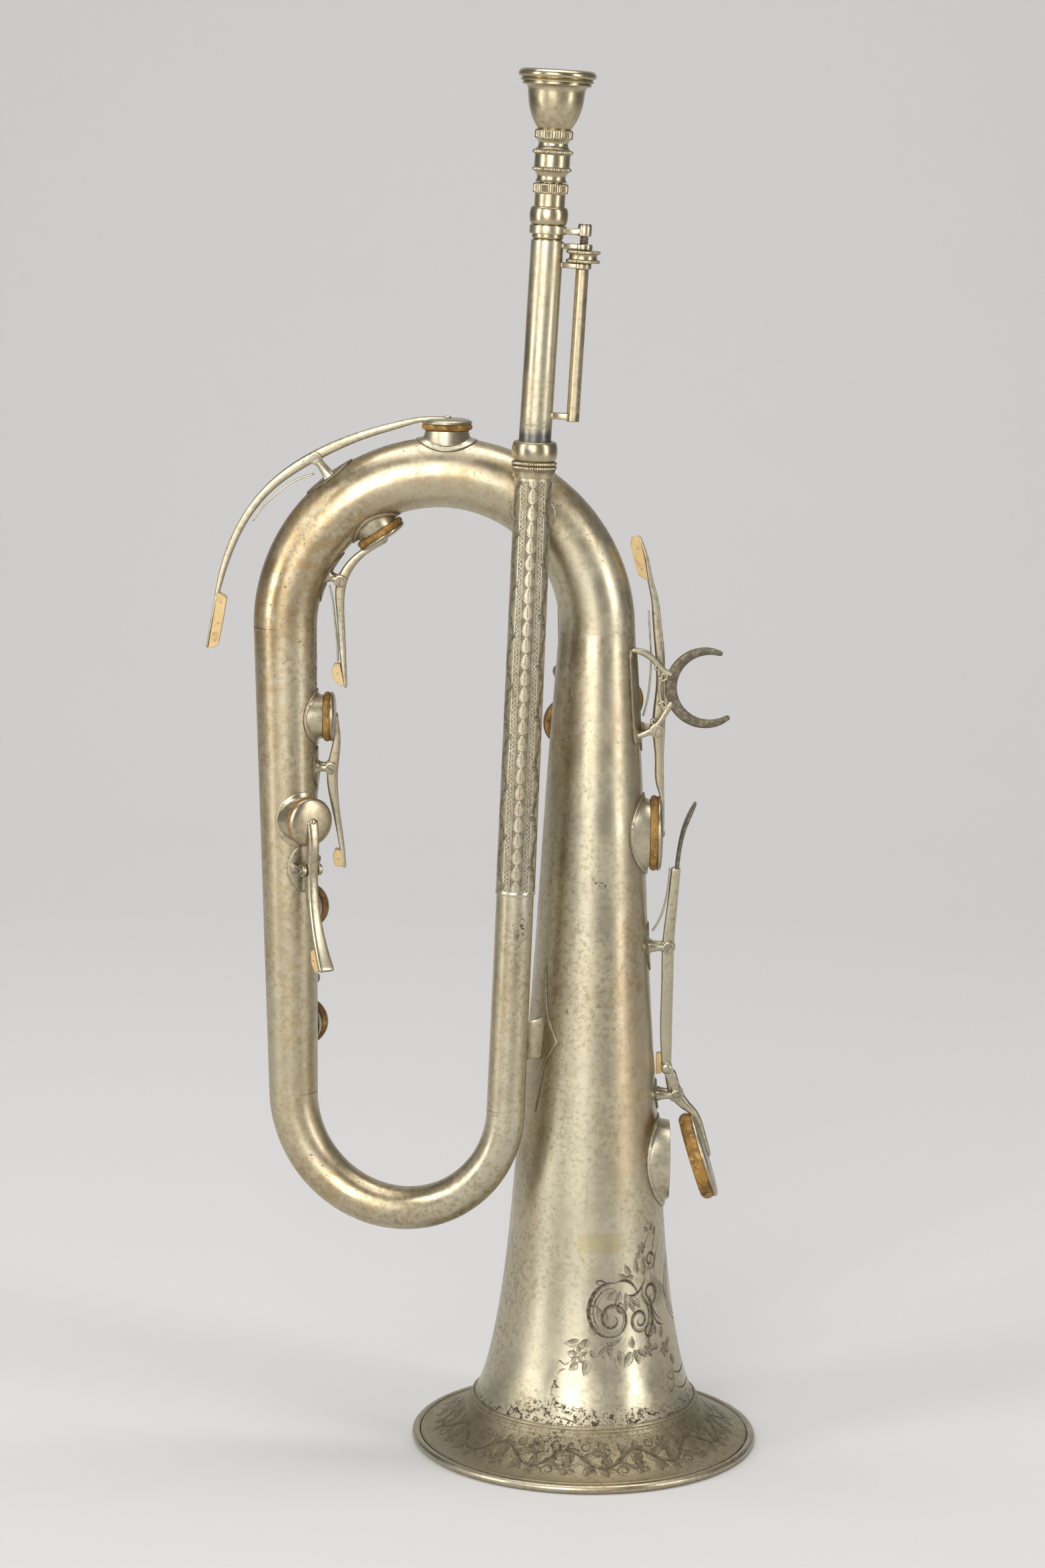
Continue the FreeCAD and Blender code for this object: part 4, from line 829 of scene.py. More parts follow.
def mark_bell(points):
    """Engrave and age the bell: its ornament, dirt at the seam, stains, an old tape mark, and long
    dark bands on its front-left that are painted shadow of the mouthpipe.
    """
    angle = np.arctan2(points[:, 1], points[:, 0])
    height = points[:, 2]
    flat = np.stack([angle * UNROLL, height], 1)
    radius = np.hypot(points[:, 0], points[:, 1])
    outer = radius > np.interp(height, profile[::-1, 1], profile[::-1, 0]) - 0.3
    half = ornament()
    oxide = np.zeros(len(points))
    zone = np.nonzero(outer & (height > ENGRAVED_LOW) & (height < ENGRAVED_TOP))[0]
    oxide[zone] = ink(flat[zone], half + mirrored(half), 0.3)
    seam = np.exp(-((height - 16.6) / 2.6) ** 2)
    # Painted shade: the three long upright patches on the front-left, centred at heights 60, 120
    # and 170, are painted shadow of the mouthpipe; the other patches and the seam band are dirt.
    dirt = 0.95 * seam + blobs(points, [
        ((-17, -35, 20), (16, 12, 4.5), 0.9), ((12, -36, 19), (26, 12, 3.5), 0.8),
        ((34, -12, 19), (10, 16, 3.5), 0.7), ((-10.6, -31.5, 27.0), (1.4, 4, 5.5), 1.0),
        ((-12, -27, 60), (9, 12, 60), 0.28), ((-16, -14, 120), (8, 12, 60), 0.30),
        ((2, -19, 201), (4, 4, 2.4), 0.9), ((-8, -20, 170), (3, 8, 40), 0.3),
        ((0, 34, 40), (40, 14, 40), 0.25), ((8, -24, 105), (10, 9, 30), 0.16)])
    warm = blobs(points, [((14, -17, 168), (7, 10, 44), 0.95), ((13, -24, 112), (8, 10, 26), 0.5),
                          ((-14, 4, 250), (8, 16, 50), 0.5), ((-20, -10, 90), (6, 12, 70), 0.45),
                          ((10, -12, 262), (10, 8, 26), 0.4)])
    across = np.degrees(angle)
    tape = np.clip((across + 98.5) / 1.2, 0, 1) * np.clip((-64 - across) / 1.2, 0, 1) * \
        np.clip((height - 74.2) / 0.5, 0, 1) * np.clip((81.2 - height) / 0.5, 0, 1) * outer
    wear = blobs(points, [((-2, -32, 30), (14, 10, 9), 0.5), ((4, -16, 232), (5, 8, 60), 0.4)])
    patch = blobs(points, [((13, -18, 150), (6, 9, 26), 0.8), ((17, -19, 116), (6, 9, 15), 0.75),
                           ((12, -22, 104), (5, 8, 12), 0.6), ((14, -12, 205), (4, 8, 22), 0.5),
                           ((-17, -17, 96), (3, 9, 26), 0.35)])
    return dict(oxide=oxide, dirt=np.clip(dirt, 0, 1) * outer, warm=warm * outer, tape=tape,
                wear=wear * outer, patch=patch * outer)


tube_piece("bell", bell_rows, [(Vector((1, 0, 0)), Vector((0, 1, 0)))] * len(bell_rows),
           bell_angles, SILVER, mark_bell)


DIRTY = [
    ((-18, -8, 334), (18, 10, 12), 0.62), ((-4, -6, 312), (9, 9, 16), 0.42),
    ((-60, -4, 348), (34, 10, 6), 0.35), ((-104, -6, 316), (8, 8, 22), 0.3),
    ((-66, 0, 352), (8, 12, 4), 0.6), ((-95, -2, 262), (4.5, 9, 34), 0.85),
    ((-93, -4, 225), (3, 7, 26), 0.6), ((-96, -6, 150), (4, 6, 30), 0.45),
    ((-105, -9, 285), (7, 5, 18), 0.3), ((-112, -5, 160), (4, 6, 40), 0.25),
    ((-66, -10, 96), (40, 12, 10), 0.22), ((-34, -20, 108), (8, 8, 12), 0.3),
    ((-92, -4, 104), (10, 8, 12), 0.3), ((-24.6, -28, 188), (2.0, 3, 4.5), 1.0),
    ((-26, -28, 176), (5, 4, 12), 0.4), ((-25, -28, 150), (6, 4, 26), 0.22)]
TINTED = [
    ((-84, -8, 330), (26, 12, 22), 0.85), ((-46, -10, 337), (18, 8, 5), 0.7),
    ((-98, 0, 300), (12, 14, 20), 0.7), ((-12, -4, 330), (20, 12, 20), 0.8),
    ((-112, -6, 250), (6, 9, 70), 0.75), ((-102, -10, 170), (9, 6, 60), 0.6),
    ((-104, 0, 300), (14, 14, 26), 0.5), ((-78, -8, 92), (30, 12, 12), 0.75),
    ((-98, 0, 118), (10, 10, 20), 0.6), ((-30, -24, 180), (3, 8, 30), 0.6),
    ((-52, 0, 350), (40, 14, 8), 0.6)]
WORN = [((-60, -10, 332), (24, 6, 5), 0.4), ((3, -11, 300), (6, 6, 20), 0.6),
        ((-108, -9, 215), (3, 5, 50), 0.4)]


def mark_loop(points):
    """Age the tubes of the loop alike, so that no change shows where they meet."""
    return dict(dirt=blobs(points, DIRTY), warm=blobs(points, TINTED), wear=blobs(points, WORN))


rows, axes = arc_rows((-TOP_R, 0, BOW_LEVEL), TOP_R, 0, 180, 12.9, 10.7, 170, (1, 0, 0))
tube_piece("top_bow", rows, axes, even_angles(128), SILVER, mark_loop)

rows, axes = straight_rows(BRANCH_LOW, BRANCH_TOP, 8.4, 10.7, 150)
tube_piece("left_branch", rows, axes, even_angles(112), SILVER, mark_loop)

middle, across = (BRANCH_LOW + PIPE_LOW) / 2, PIPE_LOW - BRANCH_LOW
rows, axes = arc_rows(middle, across.length / 2, 180, 360, 8.4, 6.5, 150, across.normalized())
tube_piece("bottom_bow", rows, axes, even_angles(96), SILVER, mark_loop)

rows, axes = straight_rows(PIPE_LOW, PIPE_TOP, 6.5, 5.9, 160)
tube_piece("mouthpipe", rows, axes, even_angles(80), SILVER, mark_loop)


# ------------------------------------------------------- garland and rim wire

def line_normals(line):
    """The unit normal at each point of a flat line, to the left of its run."""
    run = np.gradient(line, axis=0)
    run /= np.linalg.norm(run, axis=1)[:, None]
    return np.stack([-run[:, 1], run[:, 0]], 1)


GARLAND_TILES, GARLAND_AROUND = 12, 46.0
TILE = TAU * GARLAND_AROUND / GARLAND_TILES


def garland_tile():
    """One repeat of the garland: a winding stem with leaves, buds and flowers."""
    t = np.linspace(-0.1, 1.1, 60)
    stem = np.stack([t * TILE, 12.6 + 3.6 * np.sin(t * TAU)], 1)
    s = [(stem, 0.40, 1.0), (stem + (0.2, -1.0), 0.18, 0.9)]
    for i, (at, turn, size, wide) in enumerate((
            (0.02, 62, 6.4, 2.6), (0.10, 118, 5.6, 2.6), (0.16, 12, 6.6, 2.8),
            (0.24, 74, 4.2, 2.2), (0.24, 282, 7.2, 3.0), (0.33, 250, 6.8, 2.8),
            (0.40, 318, 6.6, 2.8), (0.46, 28, 6.2, 2.6), (0.52, 300, 6.0, 2.8),
            (0.58, 246, 5.2, 2.4), (0.66, 348, 6.4, 2.8), (0.74, 286, 4.0, 2.2),
            (0.74, 82, 7.4, 3.0), (0.83, 108, 7.0, 2.8), (0.90, 42, 6.8, 2.8),
            (0.96, 332, 6.2, 2.6))):
        base = (at * TILE, 12.6 + 3.6 * math.sin(at * TAU))
        for shift in (-TILE, 0, TILE):
            s += leaf((base[0] + shift, base[1]), math.radians(turn), size, wide, 5, 0.18)
    for shift in (-TILE, 0, TILE):
        s += flower((TILE * 0.25 + shift, 8.6), 3.0, 6, 0.2, 0.18)
        s += flower((TILE * 0.75 + shift, 16.2), 2.8, 5, 0.6, 0.18)
        s += scroll((TILE * 0.5 + shift, 17.2), 2.4, 90, 1.3, 0.3)
        s += scroll((TILE * 0.0 + shift, 7.2), 2.2, 270, 1.3, 0.3)
    return s


def garland():
    """The engraved skin round the flare: a scalloped border, dots, foliage and hatching."""
    start = np.argmin(np.abs(profile[:, 1] - 16.6))
    line = spline(profile[start::25].tolist() + [profile[-1].tolist()], 72)
    normals = line_normals(line)
    along = run_lengths(line)
    columns = 960
    angle = np.arange(columns) / columns * TAU
    around = np.tile(angle * GARLAND_AROUND, len(line))
    down = np.repeat(along, columns)
    cuts = ink(np.stack([around % TILE, down], 1), garland_tile(), 0.3)
    cuts[down < 4.6] = 0.0
    scallop = np.abs(np.sin(around / 1.15 * math.pi / 2))
    edge = np.abs(down - 3.4 - 0.75 * scallop)
    cuts = np.maximum(cuts, np.clip((0.22 - edge) / 0.2, 0, 1))
    dots = np.hypot((around % 2.3) - 1.15, down - 3.0)
    cuts = np.maximum(cuts, np.clip((0.32 - dots) / 0.2, 0, 1))
    hatch = np.clip(np.sin(around * 5.2 + down * 3.1) * 1.4 - 0.4, 0, 1) * (down > 5) * \
        (down < along[-1] - 1.2)
    ground = hatch * 0.42 * (1 - cuts)
    ridge = 0.30 * np.exp(-((down - 0.75) / 0.30) ** 2) + \
        0.24 * np.exp(-((down - 1.95) / 0.26) ** 2) + \
        0.16 * np.exp(-((down - (along[-1] - 0.9)) / 0.25) ** 2)
    groove = np.exp(-((down - 1.35) / 0.22) ** 2) + np.exp(-((down - 2.5) / 0.25) ** 2)
    lift = 0.42 + ridge - 0.11 * cuts - 0.03 * hatch
    radius = np.repeat(line[:, 0], columns) + lift * np.repeat(normals[:, 0], columns)
    height = np.repeat(line[:, 1], columns) + lift * np.repeat(normals[:, 1], columns)
    turn = np.tile(angle, len(line))
    top = np.stack([radius * np.cos(turn), radius * np.sin(turn), height], 1)
    under = []
    for at in range(len(line) - 1, -1, -1):
        r, h = line[at] + normals[at] * 0.05
        under.append(np.stack([r * np.cos(angle), r * np.sin(angle),
                               np.full(columns, h)], 1))
    points = np.concatenate([top] + under)
    faces = closed_faces(2 * len(line), columns)
    pad = np.zeros(len(top))
    cloud = blobs(points, [((-14, -40, 12), (20, 8, 8), 0.8), ((-6, -45, 8), (12, 6, 6), 0.5),
                           ((40, -20, 10), (12, 18, 8), 0.2), ((0, -52, 4), (50, 8, 4), 0.2)])
    return Shape(points, faces,
                 oxide=np.r_[np.clip(cuts * 0.95 + ground + groove * 0.8, 0, 1), pad],
                 dirt=np.clip(cloud, 0, 1) * np.r_[np.ones(len(down)), pad])


add("garland_engraved", [garland()], SILVER_TARNISHED, stands_for=("garland",),
    crease=60)

RIM_R, WIRE_R = 60.0, 1.5
wire_turn = np.linspace(0, TAU, 25)
wire_line = [(RIM_R - WIRE_R + WIRE_R * math.cos(a), WIRE_R + WIRE_R * math.sin(a))
             for a in wire_turn]
add("rim_wire_rolled",
    [turned(wire_line, segments=300,
            ripple=lambda h, a: (0.05 * np.sin(a * 23 + 1) * np.sin(a * 7), 0.0))],
    SILVER_KEYS, stands_for=("rim_wire",), crease=60)


# ------------------------------------------------------------ engraved sleeve

SLEEVE_LENGTH, COLLAR_DROP, SLEEVE_SHEET = 140.4, 3.4, 0.3
SLEEVE_LOW_R, SLEEVE_TOP_R, SLEEVE_UNROLL, COLUMNS_AROUND = 6.30, 5.91, 6.45, 3


PANEL_REPEAT = 17.0


def sleeve_panel(period):
    """Strokes of the leafy scroll between two leaf columns, one repeat of it."""
    s = []
    side = period / 2
    t = np.linspace(-0.1, 1.1, 40)
    s.append((np.stack([side + 1.3 * np.sin(t * TAU), t * PANEL_REPEAT], 1), 0.20, 1.0))
    for at, turn, size in ((0.05, 60, 3.2), (0.15, 20, 2.6), (0.25, 110, 3.4), (0.34, 150, 3.0),
                           (0.45, 120, 3.2), (0.55, 160, 2.8), (0.62, 100, 3.0),
                           (0.75, 50, 3.4), (0.85, 30, 3.0), (0.95, 75, 3.0)):
        base = (side + 1.3 * math.sin(at * TAU), at * PANEL_REPEAT)
        for shift in (-PANEL_REPEAT, 0, PANEL_REPEAT):
            s += leaf((base[0], base[1] + shift), math.radians(turn), size, 1.5, 4, 0.14)
    return s


def sleeve():
    """The engraved sleeve: three columns of leaves, bordered, with scrolls between them."""
    count, columns = 520, 168
    span = np.linspace(0, SLEEVE_LENGTH, count)
    angle = np.arange(columns) / columns * TAU
    radius = SLEEVE_LOW_R + (SLEEVE_TOP_R - SLEEVE_LOW_R) * span / SLEEVE_LENGTH + SLEEVE_SHEET
    period = TAU * SLEEVE_UNROLL / COLUMNS_AROUND
    u = np.tile((angle * SLEEVE_UNROLL + period / 2) % period - period / 2, count)
    v = np.repeat(span, columns)
    a = np.abs(u)
    t = (v / 5.5) % 1
    half = 1.62 * np.sin(math.pi * t ** 0.62) ** 0.85 * (1 + 0.15 * np.sin(t * 44))
    ground = np.clip((a - half) / 0.2 + 0.5, 0, 1)
    rib = 0.75 * np.exp(-(a / 0.13) ** 2) * (t > 0.12) * (t < 0.8)
    vein = 0.5 * np.clip(np.sin((v - a * 1.1) * 9.0) * 2 - 1.1, 0, 1) * (a < half)
    speckle = 0.72 + 0.28 * np.sin(u * 19) * np.sin(v * 17)
    cuts = np.where(a < 1.85, np.maximum(np.maximum(ground * speckle, rib), vein), 0)
    for line, width in ((1.92, 0.10), (2.40, 0.14), (2.90, 0.10), (4.15, 0.12)):
        cuts = np.maximum(cuts, np.clip((width - np.abs(a - line)) / 0.14 + 0.5, 0, 1))
    wave = np.abs(a - 3.5 - 0.24 * np.sin(v * TAU / 1.55))
    cuts = np.maximum(cuts, np.clip((0.15 - wave) / 0.14 + 0.5, 0, 1))
    between = np.clip(1 - np.abs(a - 3.5) / 0.55, 0, 1) * \
        (np.sin(v * TAU / 1.55) * np.sign(a - 3.5) > 0.2) * 0.55
    cuts = np.maximum(cuts, between)
    side = np.where(u < 0, u + period, u)
    panel = ink(np.stack([side, v % PANEL_REPEAT], 1), sleeve_panel(period), 0.2)
    cuts = np.maximum(cuts, np.where(a > 4.3, panel, 0))
    shown = np.clip((v - 1.2) / 0.3, 0, 1) * np.clip((SLEEVE_LENGTH - 0.8 - v) / 0.3, 0, 1)
    cuts *= shown
    lip = 0.16 * np.exp(-((v - 0.6) / 0.4) ** 2)
    r = np.repeat(radius, columns) - 0.09 * cuts + lip
    turn = np.tile(angle, count)
    skin = np.stack([r * np.cos(turn), r * np.sin(turn), v], 1)
    inner = [np.stack([(radius[i] - 0.28) * np.cos(angle), (radius[i] - 0.28) * np.sin(angle),
                       np.full(columns, span[i])], 1) for i in (-1, 0)]
    points = np.concatenate([skin] + inner)
    faces = closed_faces(count + 2, columns)
    low = PIPE_TOP - PIPE_RUN * (COLLAR_DROP + SLEEVE_LENGTH)
    place = place_at(low, PIPE_RUN, (0, -1, 0))
    pad = np.zeros(2 * columns)
    worn = 0.35 * np.exp(-((v - 110) / 30) ** 2) * (a < half)
    return Shape(moved(points, place), faces, oxide=np.r_[cuts, pad],
                 dirt=np.r_[0.10 * (a > 4.2), pad], wear=np.r_[worn, pad])


add("engraved_sleeve_skin", [sleeve()], SILVER, stands_for=("engraved_sleeve",),
    crease=60)


# ------------------------------------------------- collar, slide, mouthpiece

def knurl(low, high, depth, count):
    """A ripple of straight ridges between two heights."""
    def ripple(h, angle):
        if not low < h < high:
            return 0.0, 0.0
        ridge = np.cos(angle * count)
        return depth * ridge, 0.8 * np.clip(0.2 - ridge, 0, 1)
    return ripple


def ripples(*parts):
    """Several ripples added together."""
    def ripple(h, angle):
        made = [part(h, angle) for part in parts]
        return sum(rise for rise, _ in made), sum(recess for _, recess in made)
    return ripple


def dense(radius, low, high, count):
    """Evenly spaced points of a profile, all at one radius, for a ripple to shape."""
    return [(radius, h) for h in np.linspace(low, high, count)]


COLLAR = place_at(PIPE_TOP, PIPE_RUN)
ball = [(6.35 + 1.25 * math.sin(a) ** 0.8, 5.35 - 3.25 * math.cos(a))
        for a in np.linspace(0.16, math.pi - 0.16, 20)]
collar_line = rounded([(6.1, -3.4), (6.75, -3.4), (6.85, -3.0), (7.12, -0.75)], 0.15)
collar_line += dense(7.0, -0.6, 0.55, 10) + [(6.75, 0.65)] + dense(7.0, 0.78, 1.92, 10)
collar_line += [(6.75, 2.0)] + ball + [(5.7, 8.6), (5.6, 8.4), (5.6, 0.8), (6.1, -3.3), (6.1, -3.4)]
collar = turned(collar_line, COLLAR, 224, ripples(beads(-0.62, 0.57, 0.55, 54),
                                                  beads(0.76, 1.94, 0.55, 54)))
collar.values["lead"] = blobs(collar.points, [((-23.9, -29.5, 347.6), (1.6, 3, 1.3), 1.0)])
collar.values["oxide"] += blobs(collar.points, [((-22.2, -22, 350.6), (9, 9, 0.7), 0.6)])
add("receiver_collar_beaded", [collar], BRASSY,
    stands_for=("receiver_collar",), crease=50)

SLIDE_RUN = Vector((0.048, 0, 1))
SLIDE = place_at((-22.05, -22.0, 350.0), SLIDE_RUN)
SCREW, WHEEL_AT = 12.0, 59.75
SCREW_LINE = SLIDE @ Matrix.Translation((SCREW, 0, 0))

outer_line = ring_line(4.76, 5.35, -3.6, 66.4, 0.15)
outer_rows = []
for a, b in zip(outer_line, outer_line[1:]):
    steps = max(1, int(math.dist(a, b) / 1.2))
    outer_rows += [tuple(Vector(a).lerp(Vector(b), i / steps)) for i in range(steps)]
outer_rows.append(outer_line[-1])
outer_tube = turned(outer_rows, SLIDE, 80)
outer_tube.values["lead"] = blobs(outer_tube.points, [((-22.0, -22, 351.6), (12, 12, 2.6), 1.6)])
outer_tube.values["dirt"] = blobs(outer_tube.points, [((-22.0, -24, 356.0), (12, 9, 2.0), 0.8),
                                                      ((-22.0, -22, 350.6), (12, 12, 0.6), 1.0)])
outer_tube.values["warm"] = blobs(outer_tube.points, [((-24.5, -24, 375), (3, 6, 24), 0.6)])
add("tuning_outer_tube_drawn", [outer_tube], SILVER, stands_for=("tuning_outer_tube",))

inner_line = rounded([(4.1, 8.6), (4.7, 8.6), (4.7, 66.7), (5.2, 67.2), (5.2, 71.3)], 0.2)
inner_line += [(5.2 + 1.12 * math.sin(a) ** 0.75, 74.3 - 2.95 * math.cos(a))
               for a in np.linspace(0.1, math.pi - 0.1, 18)]
inner_line += rounded([(5.0, 77.4), (5.0, 81.3), (5.1, 81.5)], 0.1)
inner_line += dense(5.62, 81.7, 84.6, 12) + [(5.2, 84.9), (3.85, 84.9), (3.82, 66.2), (4.1, 65.0),
                                             (4.1, 8.6)]
add("tuning_inner_tube_turned",
    [turned(inner_line, SLIDE, 220, knurl(81.8, 84.5, 0.14, 44))], BRASSY,
    body="tuning_slide", stands_for=("tuning_inner_tube",))

CLAMP_AT = 68.4
clamp_line = ring_line(5.3, 6.1, 0, 2.8, 0.3)
clamp_arm = bar([(5.6, 1.35, 3.2, 2.1), (8.0, 1.2, 2.8, 2.0), (SCREW - 1.6, 1.5, 3.2, 2.2)],
                SLIDE @ Matrix.Translation((0, 0, CLAMP_AT)), 24, power=6)
boss_line = ring_line(1.52, 2.3, 0, 3.4, 0.3)
notches = [turned(rounded([(0, 0.25), (0.28, 0.2), (0.3, 0), (0, 0)], 0.06),
                  place_at(SLIDE @ Vector((6.05 * math.cos(a), 6.05 * math.sin(a),
                                           CLAMP_AT + 1.4)),
                           SLIDE.to_3x3() @ Vector((math.cos(a), math.sin(a), 0))), 12)
           for a in np.radians([-112, -96, -84, -70])]
add("clamp_ring_forged",
    [turned(clamp_line, SLIDE @ Matrix.Translation((0, 0, CLAMP_AT)), 90), clamp_arm,
     turned(boss_line, SCREW_LINE @ Matrix.Translation((0, 0, CLAMP_AT)), 48)] + notches,
    SILVER, body="tuning_slide", stands_for=("clamp_ring",))


def threaded(radius, depth, pitch, low, high, place, around=40):
    """A screw thread: the profile climbs one pitch for each turn."""
    count = int((high - low) / pitch * 8)
    angle = np.arange(around) / around * TAU
    rows = []
    for h in np.linspace(low, high, count):
        wave = np.abs(((h / pitch - angle / TAU) % 1) * 2 - 1)
        near_end = min(1.0, (high - h) / pitch, (h - low) / pitch)
        r = radius - depth * (1 - wave) * max(near_end, 0)
        rows.append(np.stack([r * np.cos(angle), r * np.sin(angle), np.full(around, h)], 1))
    caps = [np.tile([[0, 0, low]], (around, 1)), np.tile([[0, 0, high]], (around, 1))]
    points = np.concatenate([caps[0]] + rows + [caps[1]])
    return Shape(moved(points, place), grid_faces(count + 2, around))


add("tuning_rod_threaded",
    [threaded(1.5, 0.28, 0.9, 9.6, 72.3, SCREW_LINE),
     turned([(0, 71.5), (2.2, 71.5), (2.25, 71.9), (2.0, 72.35), (0, 72.4)], SCREW_LINE, 40)],
    STEEL, body="tuning_slide", stands_for=("tuning_rod",))

wheel_line = [(1.58, 0.02), (5.1, 0.02)] + dense(5.35, 0.05, 0.98, 7) + [
    (4.75, 1.2), (4.5, 2.0), (4.75, 2.8)] + dense(5.35, 3.02, 3.95, 7) + [
    (5.1, 3.98), (1.58, 3.98), (1.58, 0.02)]
add("tuning_wheel_knurled",
    [turned(wheel_line, SCREW_LINE @ Matrix.Translation((0, 0, WHEEL_AT)), 240,
            ripples(beads(0.0, 1.02, 0.28, 56), beads(2.98, 4.0, 0.28, 56)))],
    BRASSY, body="tuning_wheel", stands_for=("tuning_wheel",))

BRACKET, BRACKET_GAP = 1.9, 0.15


def slide_arm(height, depth, reach):
    """A flat arm from the outer tube that ends in a round eye about the screw."""
    place = SLIDE @ Matrix.Translation((0, 0, height))
    return bar([(5.2, 0, 4.2, depth), (7.4, 0, 3.6, depth), (reach, 0, 4.0, depth)], place, 20,
               power=8)


brackets = []
for level in (WHEEL_AT - BRACKET_GAP - BRACKET / 2, WHEEL_AT + 4.0 + BRACKET_GAP + BRACKET / 2):
    eye = ring_line(1.62, 2.9, -BRACKET / 2, BRACKET / 2, 0.3)
    brackets += [slide_arm(level, BRACKET, SCREW - 2.2),
                 turned(eye, SCREW_LINE @ Matrix.Translation((0, 0, level)), 48)]
add("wheel_brackets_forged", brackets, SILVER_KEYS, stands_for=("wheel_brackets",))

GUIDE_TOP, GUIDE_LENGTH, GUIDE_R = WHEEL_AT - BRACKET_GAP - BRACKET, 50.0, 2.3


def octagon(h, a):
    """Turns a round tube of the guide's radius into eight flats."""
    flat = (a + math.pi / 8) % (math.pi / 4) - math.pi / 8
    return GUIDE_R * (np.minimum(math.cos(math.pi / 8) / np.cos(flat), 0.988) - 1), 0.0


guide_line = [(1.62, GUIDE_TOP), (1.62, GUIDE_TOP - GUIDE_LENGTH)]
outside = [(GUIDE_R - 0.2, GUIDE_TOP - GUIDE_LENGTH)] + [
    (GUIDE_R, h) for h in np.linspace(GUIDE_TOP - GUIDE_LENGTH + 0.2, GUIDE_TOP - 0.2, 30)] + [
    (GUIDE_R - 0.2, GUIDE_TOP), (1.62, GUIDE_TOP)]
guide = turned(guide_line + outside, SCREW_LINE, 96, octagon)
foot = slide_arm(GUIDE_TOP - GUIDE_LENGTH + 1.6, 2.2, SCREW - 2.0)
add("screw_guide_faceted", [guide, foot], BRASSY, stands_for=("screw_guide",), crease=22)

mouth_line = [(2.0, 98.0), (2.6, 102.0), (4.2, 104.2), (5.6, 106.0), (6.8, 109.0), (7.6, 112.0),
              (8.0, 116.0), (8.2, 119.4)]
mouth_line += [(8.2 + 4.55 * (1 - math.cos(a)) / 2, 119.5 + 1.95 * math.sin(a) ** 0.9)
               for a in np.linspace(0.15, math.pi - 0.25, 18)]
mouth_line += [(12.75, 119.6), (12.55, 119.0), (12.2, 118.75), (11.5, 118.6), (11.7, 118.2),
               (12.0, 117.9), (11.9, 117.5), (11.1, 117.3), (11.2, 116.9), (11.3, 116.6),
               (10.9, 116.2), (9.9, 116.0), (9.5, 115.4), (9.35, 114.6), (9.25, 113.9),
               (9.25, 113.6)]
bowl_line = spline([(9.2, 113.2), (9.0, 111.2), (8.35, 108.2), (7.2, 105.2), (6.1, 103.3),
                    (5.5, 102.4)], 20)
mouth_line += [tuple(p) for p in bowl_line]
mouth_line += [(5.7, 102.15)] + dense(6.12, 101.85, 99.25, 12) + [(5.6, 98.95)]
mouth_line += [tuple(p) for p in spline([(5.5, 98.8), (4.85, 97.8), (4.9, 97.0), (5.55, 95.9)], 12)]
mouth_line += [(5.8, 95.6)] + dense(6.1, 95.45, 94.35, 9) + rounded(
    [(5.9, 94.2), (5.85, 93.9), (5.85, 90.2), (5.8, 89.95)], 0.1)
mouth_line += dense(5.95, 89.85, 88.75, 9) + [(5.5, 88.5)]
mouth_line += [tuple(p) for p in spline([(5.4, 88.3), (4.75, 87.2), (4.75, 86.3), (5.2, 85.2)], 12)]
mouth_line += [(3.75, 85.1), (3.72, 66.4), (2.9, 66.4), (2.0, 98.0)]
add("mouthpiece_turned",
    [turned(mouth_line, SLIDE, 220,
            ripples(knurl(99.3, 101.8, 0.13, 44), beads(94.3, 95.5, 0.60, 48),
                    beads(88.7, 89.9, 0.56, 48)))],
    BRASSY, body="mouthpiece", stands_for=("mouthpiece",), crease=50)


# --------------------------------------------------- chimneys, plates, saddles

def drop(tube, point, aim, lift):
    """Where a line along -aim from outside meets the tube, lifted off its skin."""
    start = Vector(point) + Vector(aim) * 14
    hit, normal = TREES[tube].ray_cast(start, -Vector(aim), 30)[:2]
    if hit is None:
        hit, normal = TREES[tube].find_nearest(Vector(point))[:2]
    if normal.dot(aim) < 0:
        normal = -normal
    return hit + normal * lift


def chimney(key, flare):
    """A raised tone hole: a thin wall with a rolled mouth and a flange bent on the tube."""
    r_in, r_out, r_far = key["chimney"] - 0.8, key["chimney"], key["flange"]
    rows = [(r_in, "skin", -0.9, 0), (r_in, "mouth", -0.35, 0), (r_in + 0.12, "mouth", -0.08, 0),
            (r_in + 0.35, "mouth", 0.0, 0), (r_out - 0.25, "mouth", 0.0, 0),
            (r_out - 0.04, "mouth", -0.1, 0), (r_out, "mouth", -0.4, 0),
            (r_out + flare * 0.2, "skin", 1.15, 0.1), (r_out + flare * 0.55, "skin", 0.78, 0.4),
            (r_out + flare * 1.3, "skin", 0.60, 0), (r_far - 0.5, "skin", 0.55, 0),
            (r_far - 0.12, "skin", 0.46, 0.2), (r_far, "skin", 0.28, 0.8),
            (r_far, "skin", -0.2, 0.9)]
    top = key["hole"].translation
    tube_r = key["depth"] - (top - drop(key["tube"], top, key["out"], 0)).dot(key["out"])
    columns = 96
    points = []
    for rho, mode, rise, _ in rows:
        for i in range(columns):
            angle = TAU * i / columns
            along, across = rho * math.cos(angle), rho * math.sin(angle)
            if mode == "skin" and rho > r_out + flare:
                across = tube_r * math.sin(across / tube_r)
            flat = key["hole"] @ Vector((along, across, 0))
            if mode == "mouth":
                points.append(flat + key["out"] * rise)
            else:
                at = drop(key["tube"], flat, key["out"], rise)
                level = (at - flat).dot(key["out"])
                points.append(at if level < -0.4 else flat - key["out"] * 0.4)
    return Shape([tuple(p) for p in points], grid_faces(len(rows), columns),
                 oxide=np.repeat([dark for *_, dark in rows], columns))


def leaf_outline(radii, point=0.0, count=64):
    """An oval of (along, across) radii, drawn out to a point at both ends."""
    angle = np.arange(count) / count * TAU
    narrow = 1 - point * np.abs(np.cos(angle)) ** 3
    return np.stack([radii[0] * np.cos(angle), radii[1] * np.sin(angle) * narrow], 1)


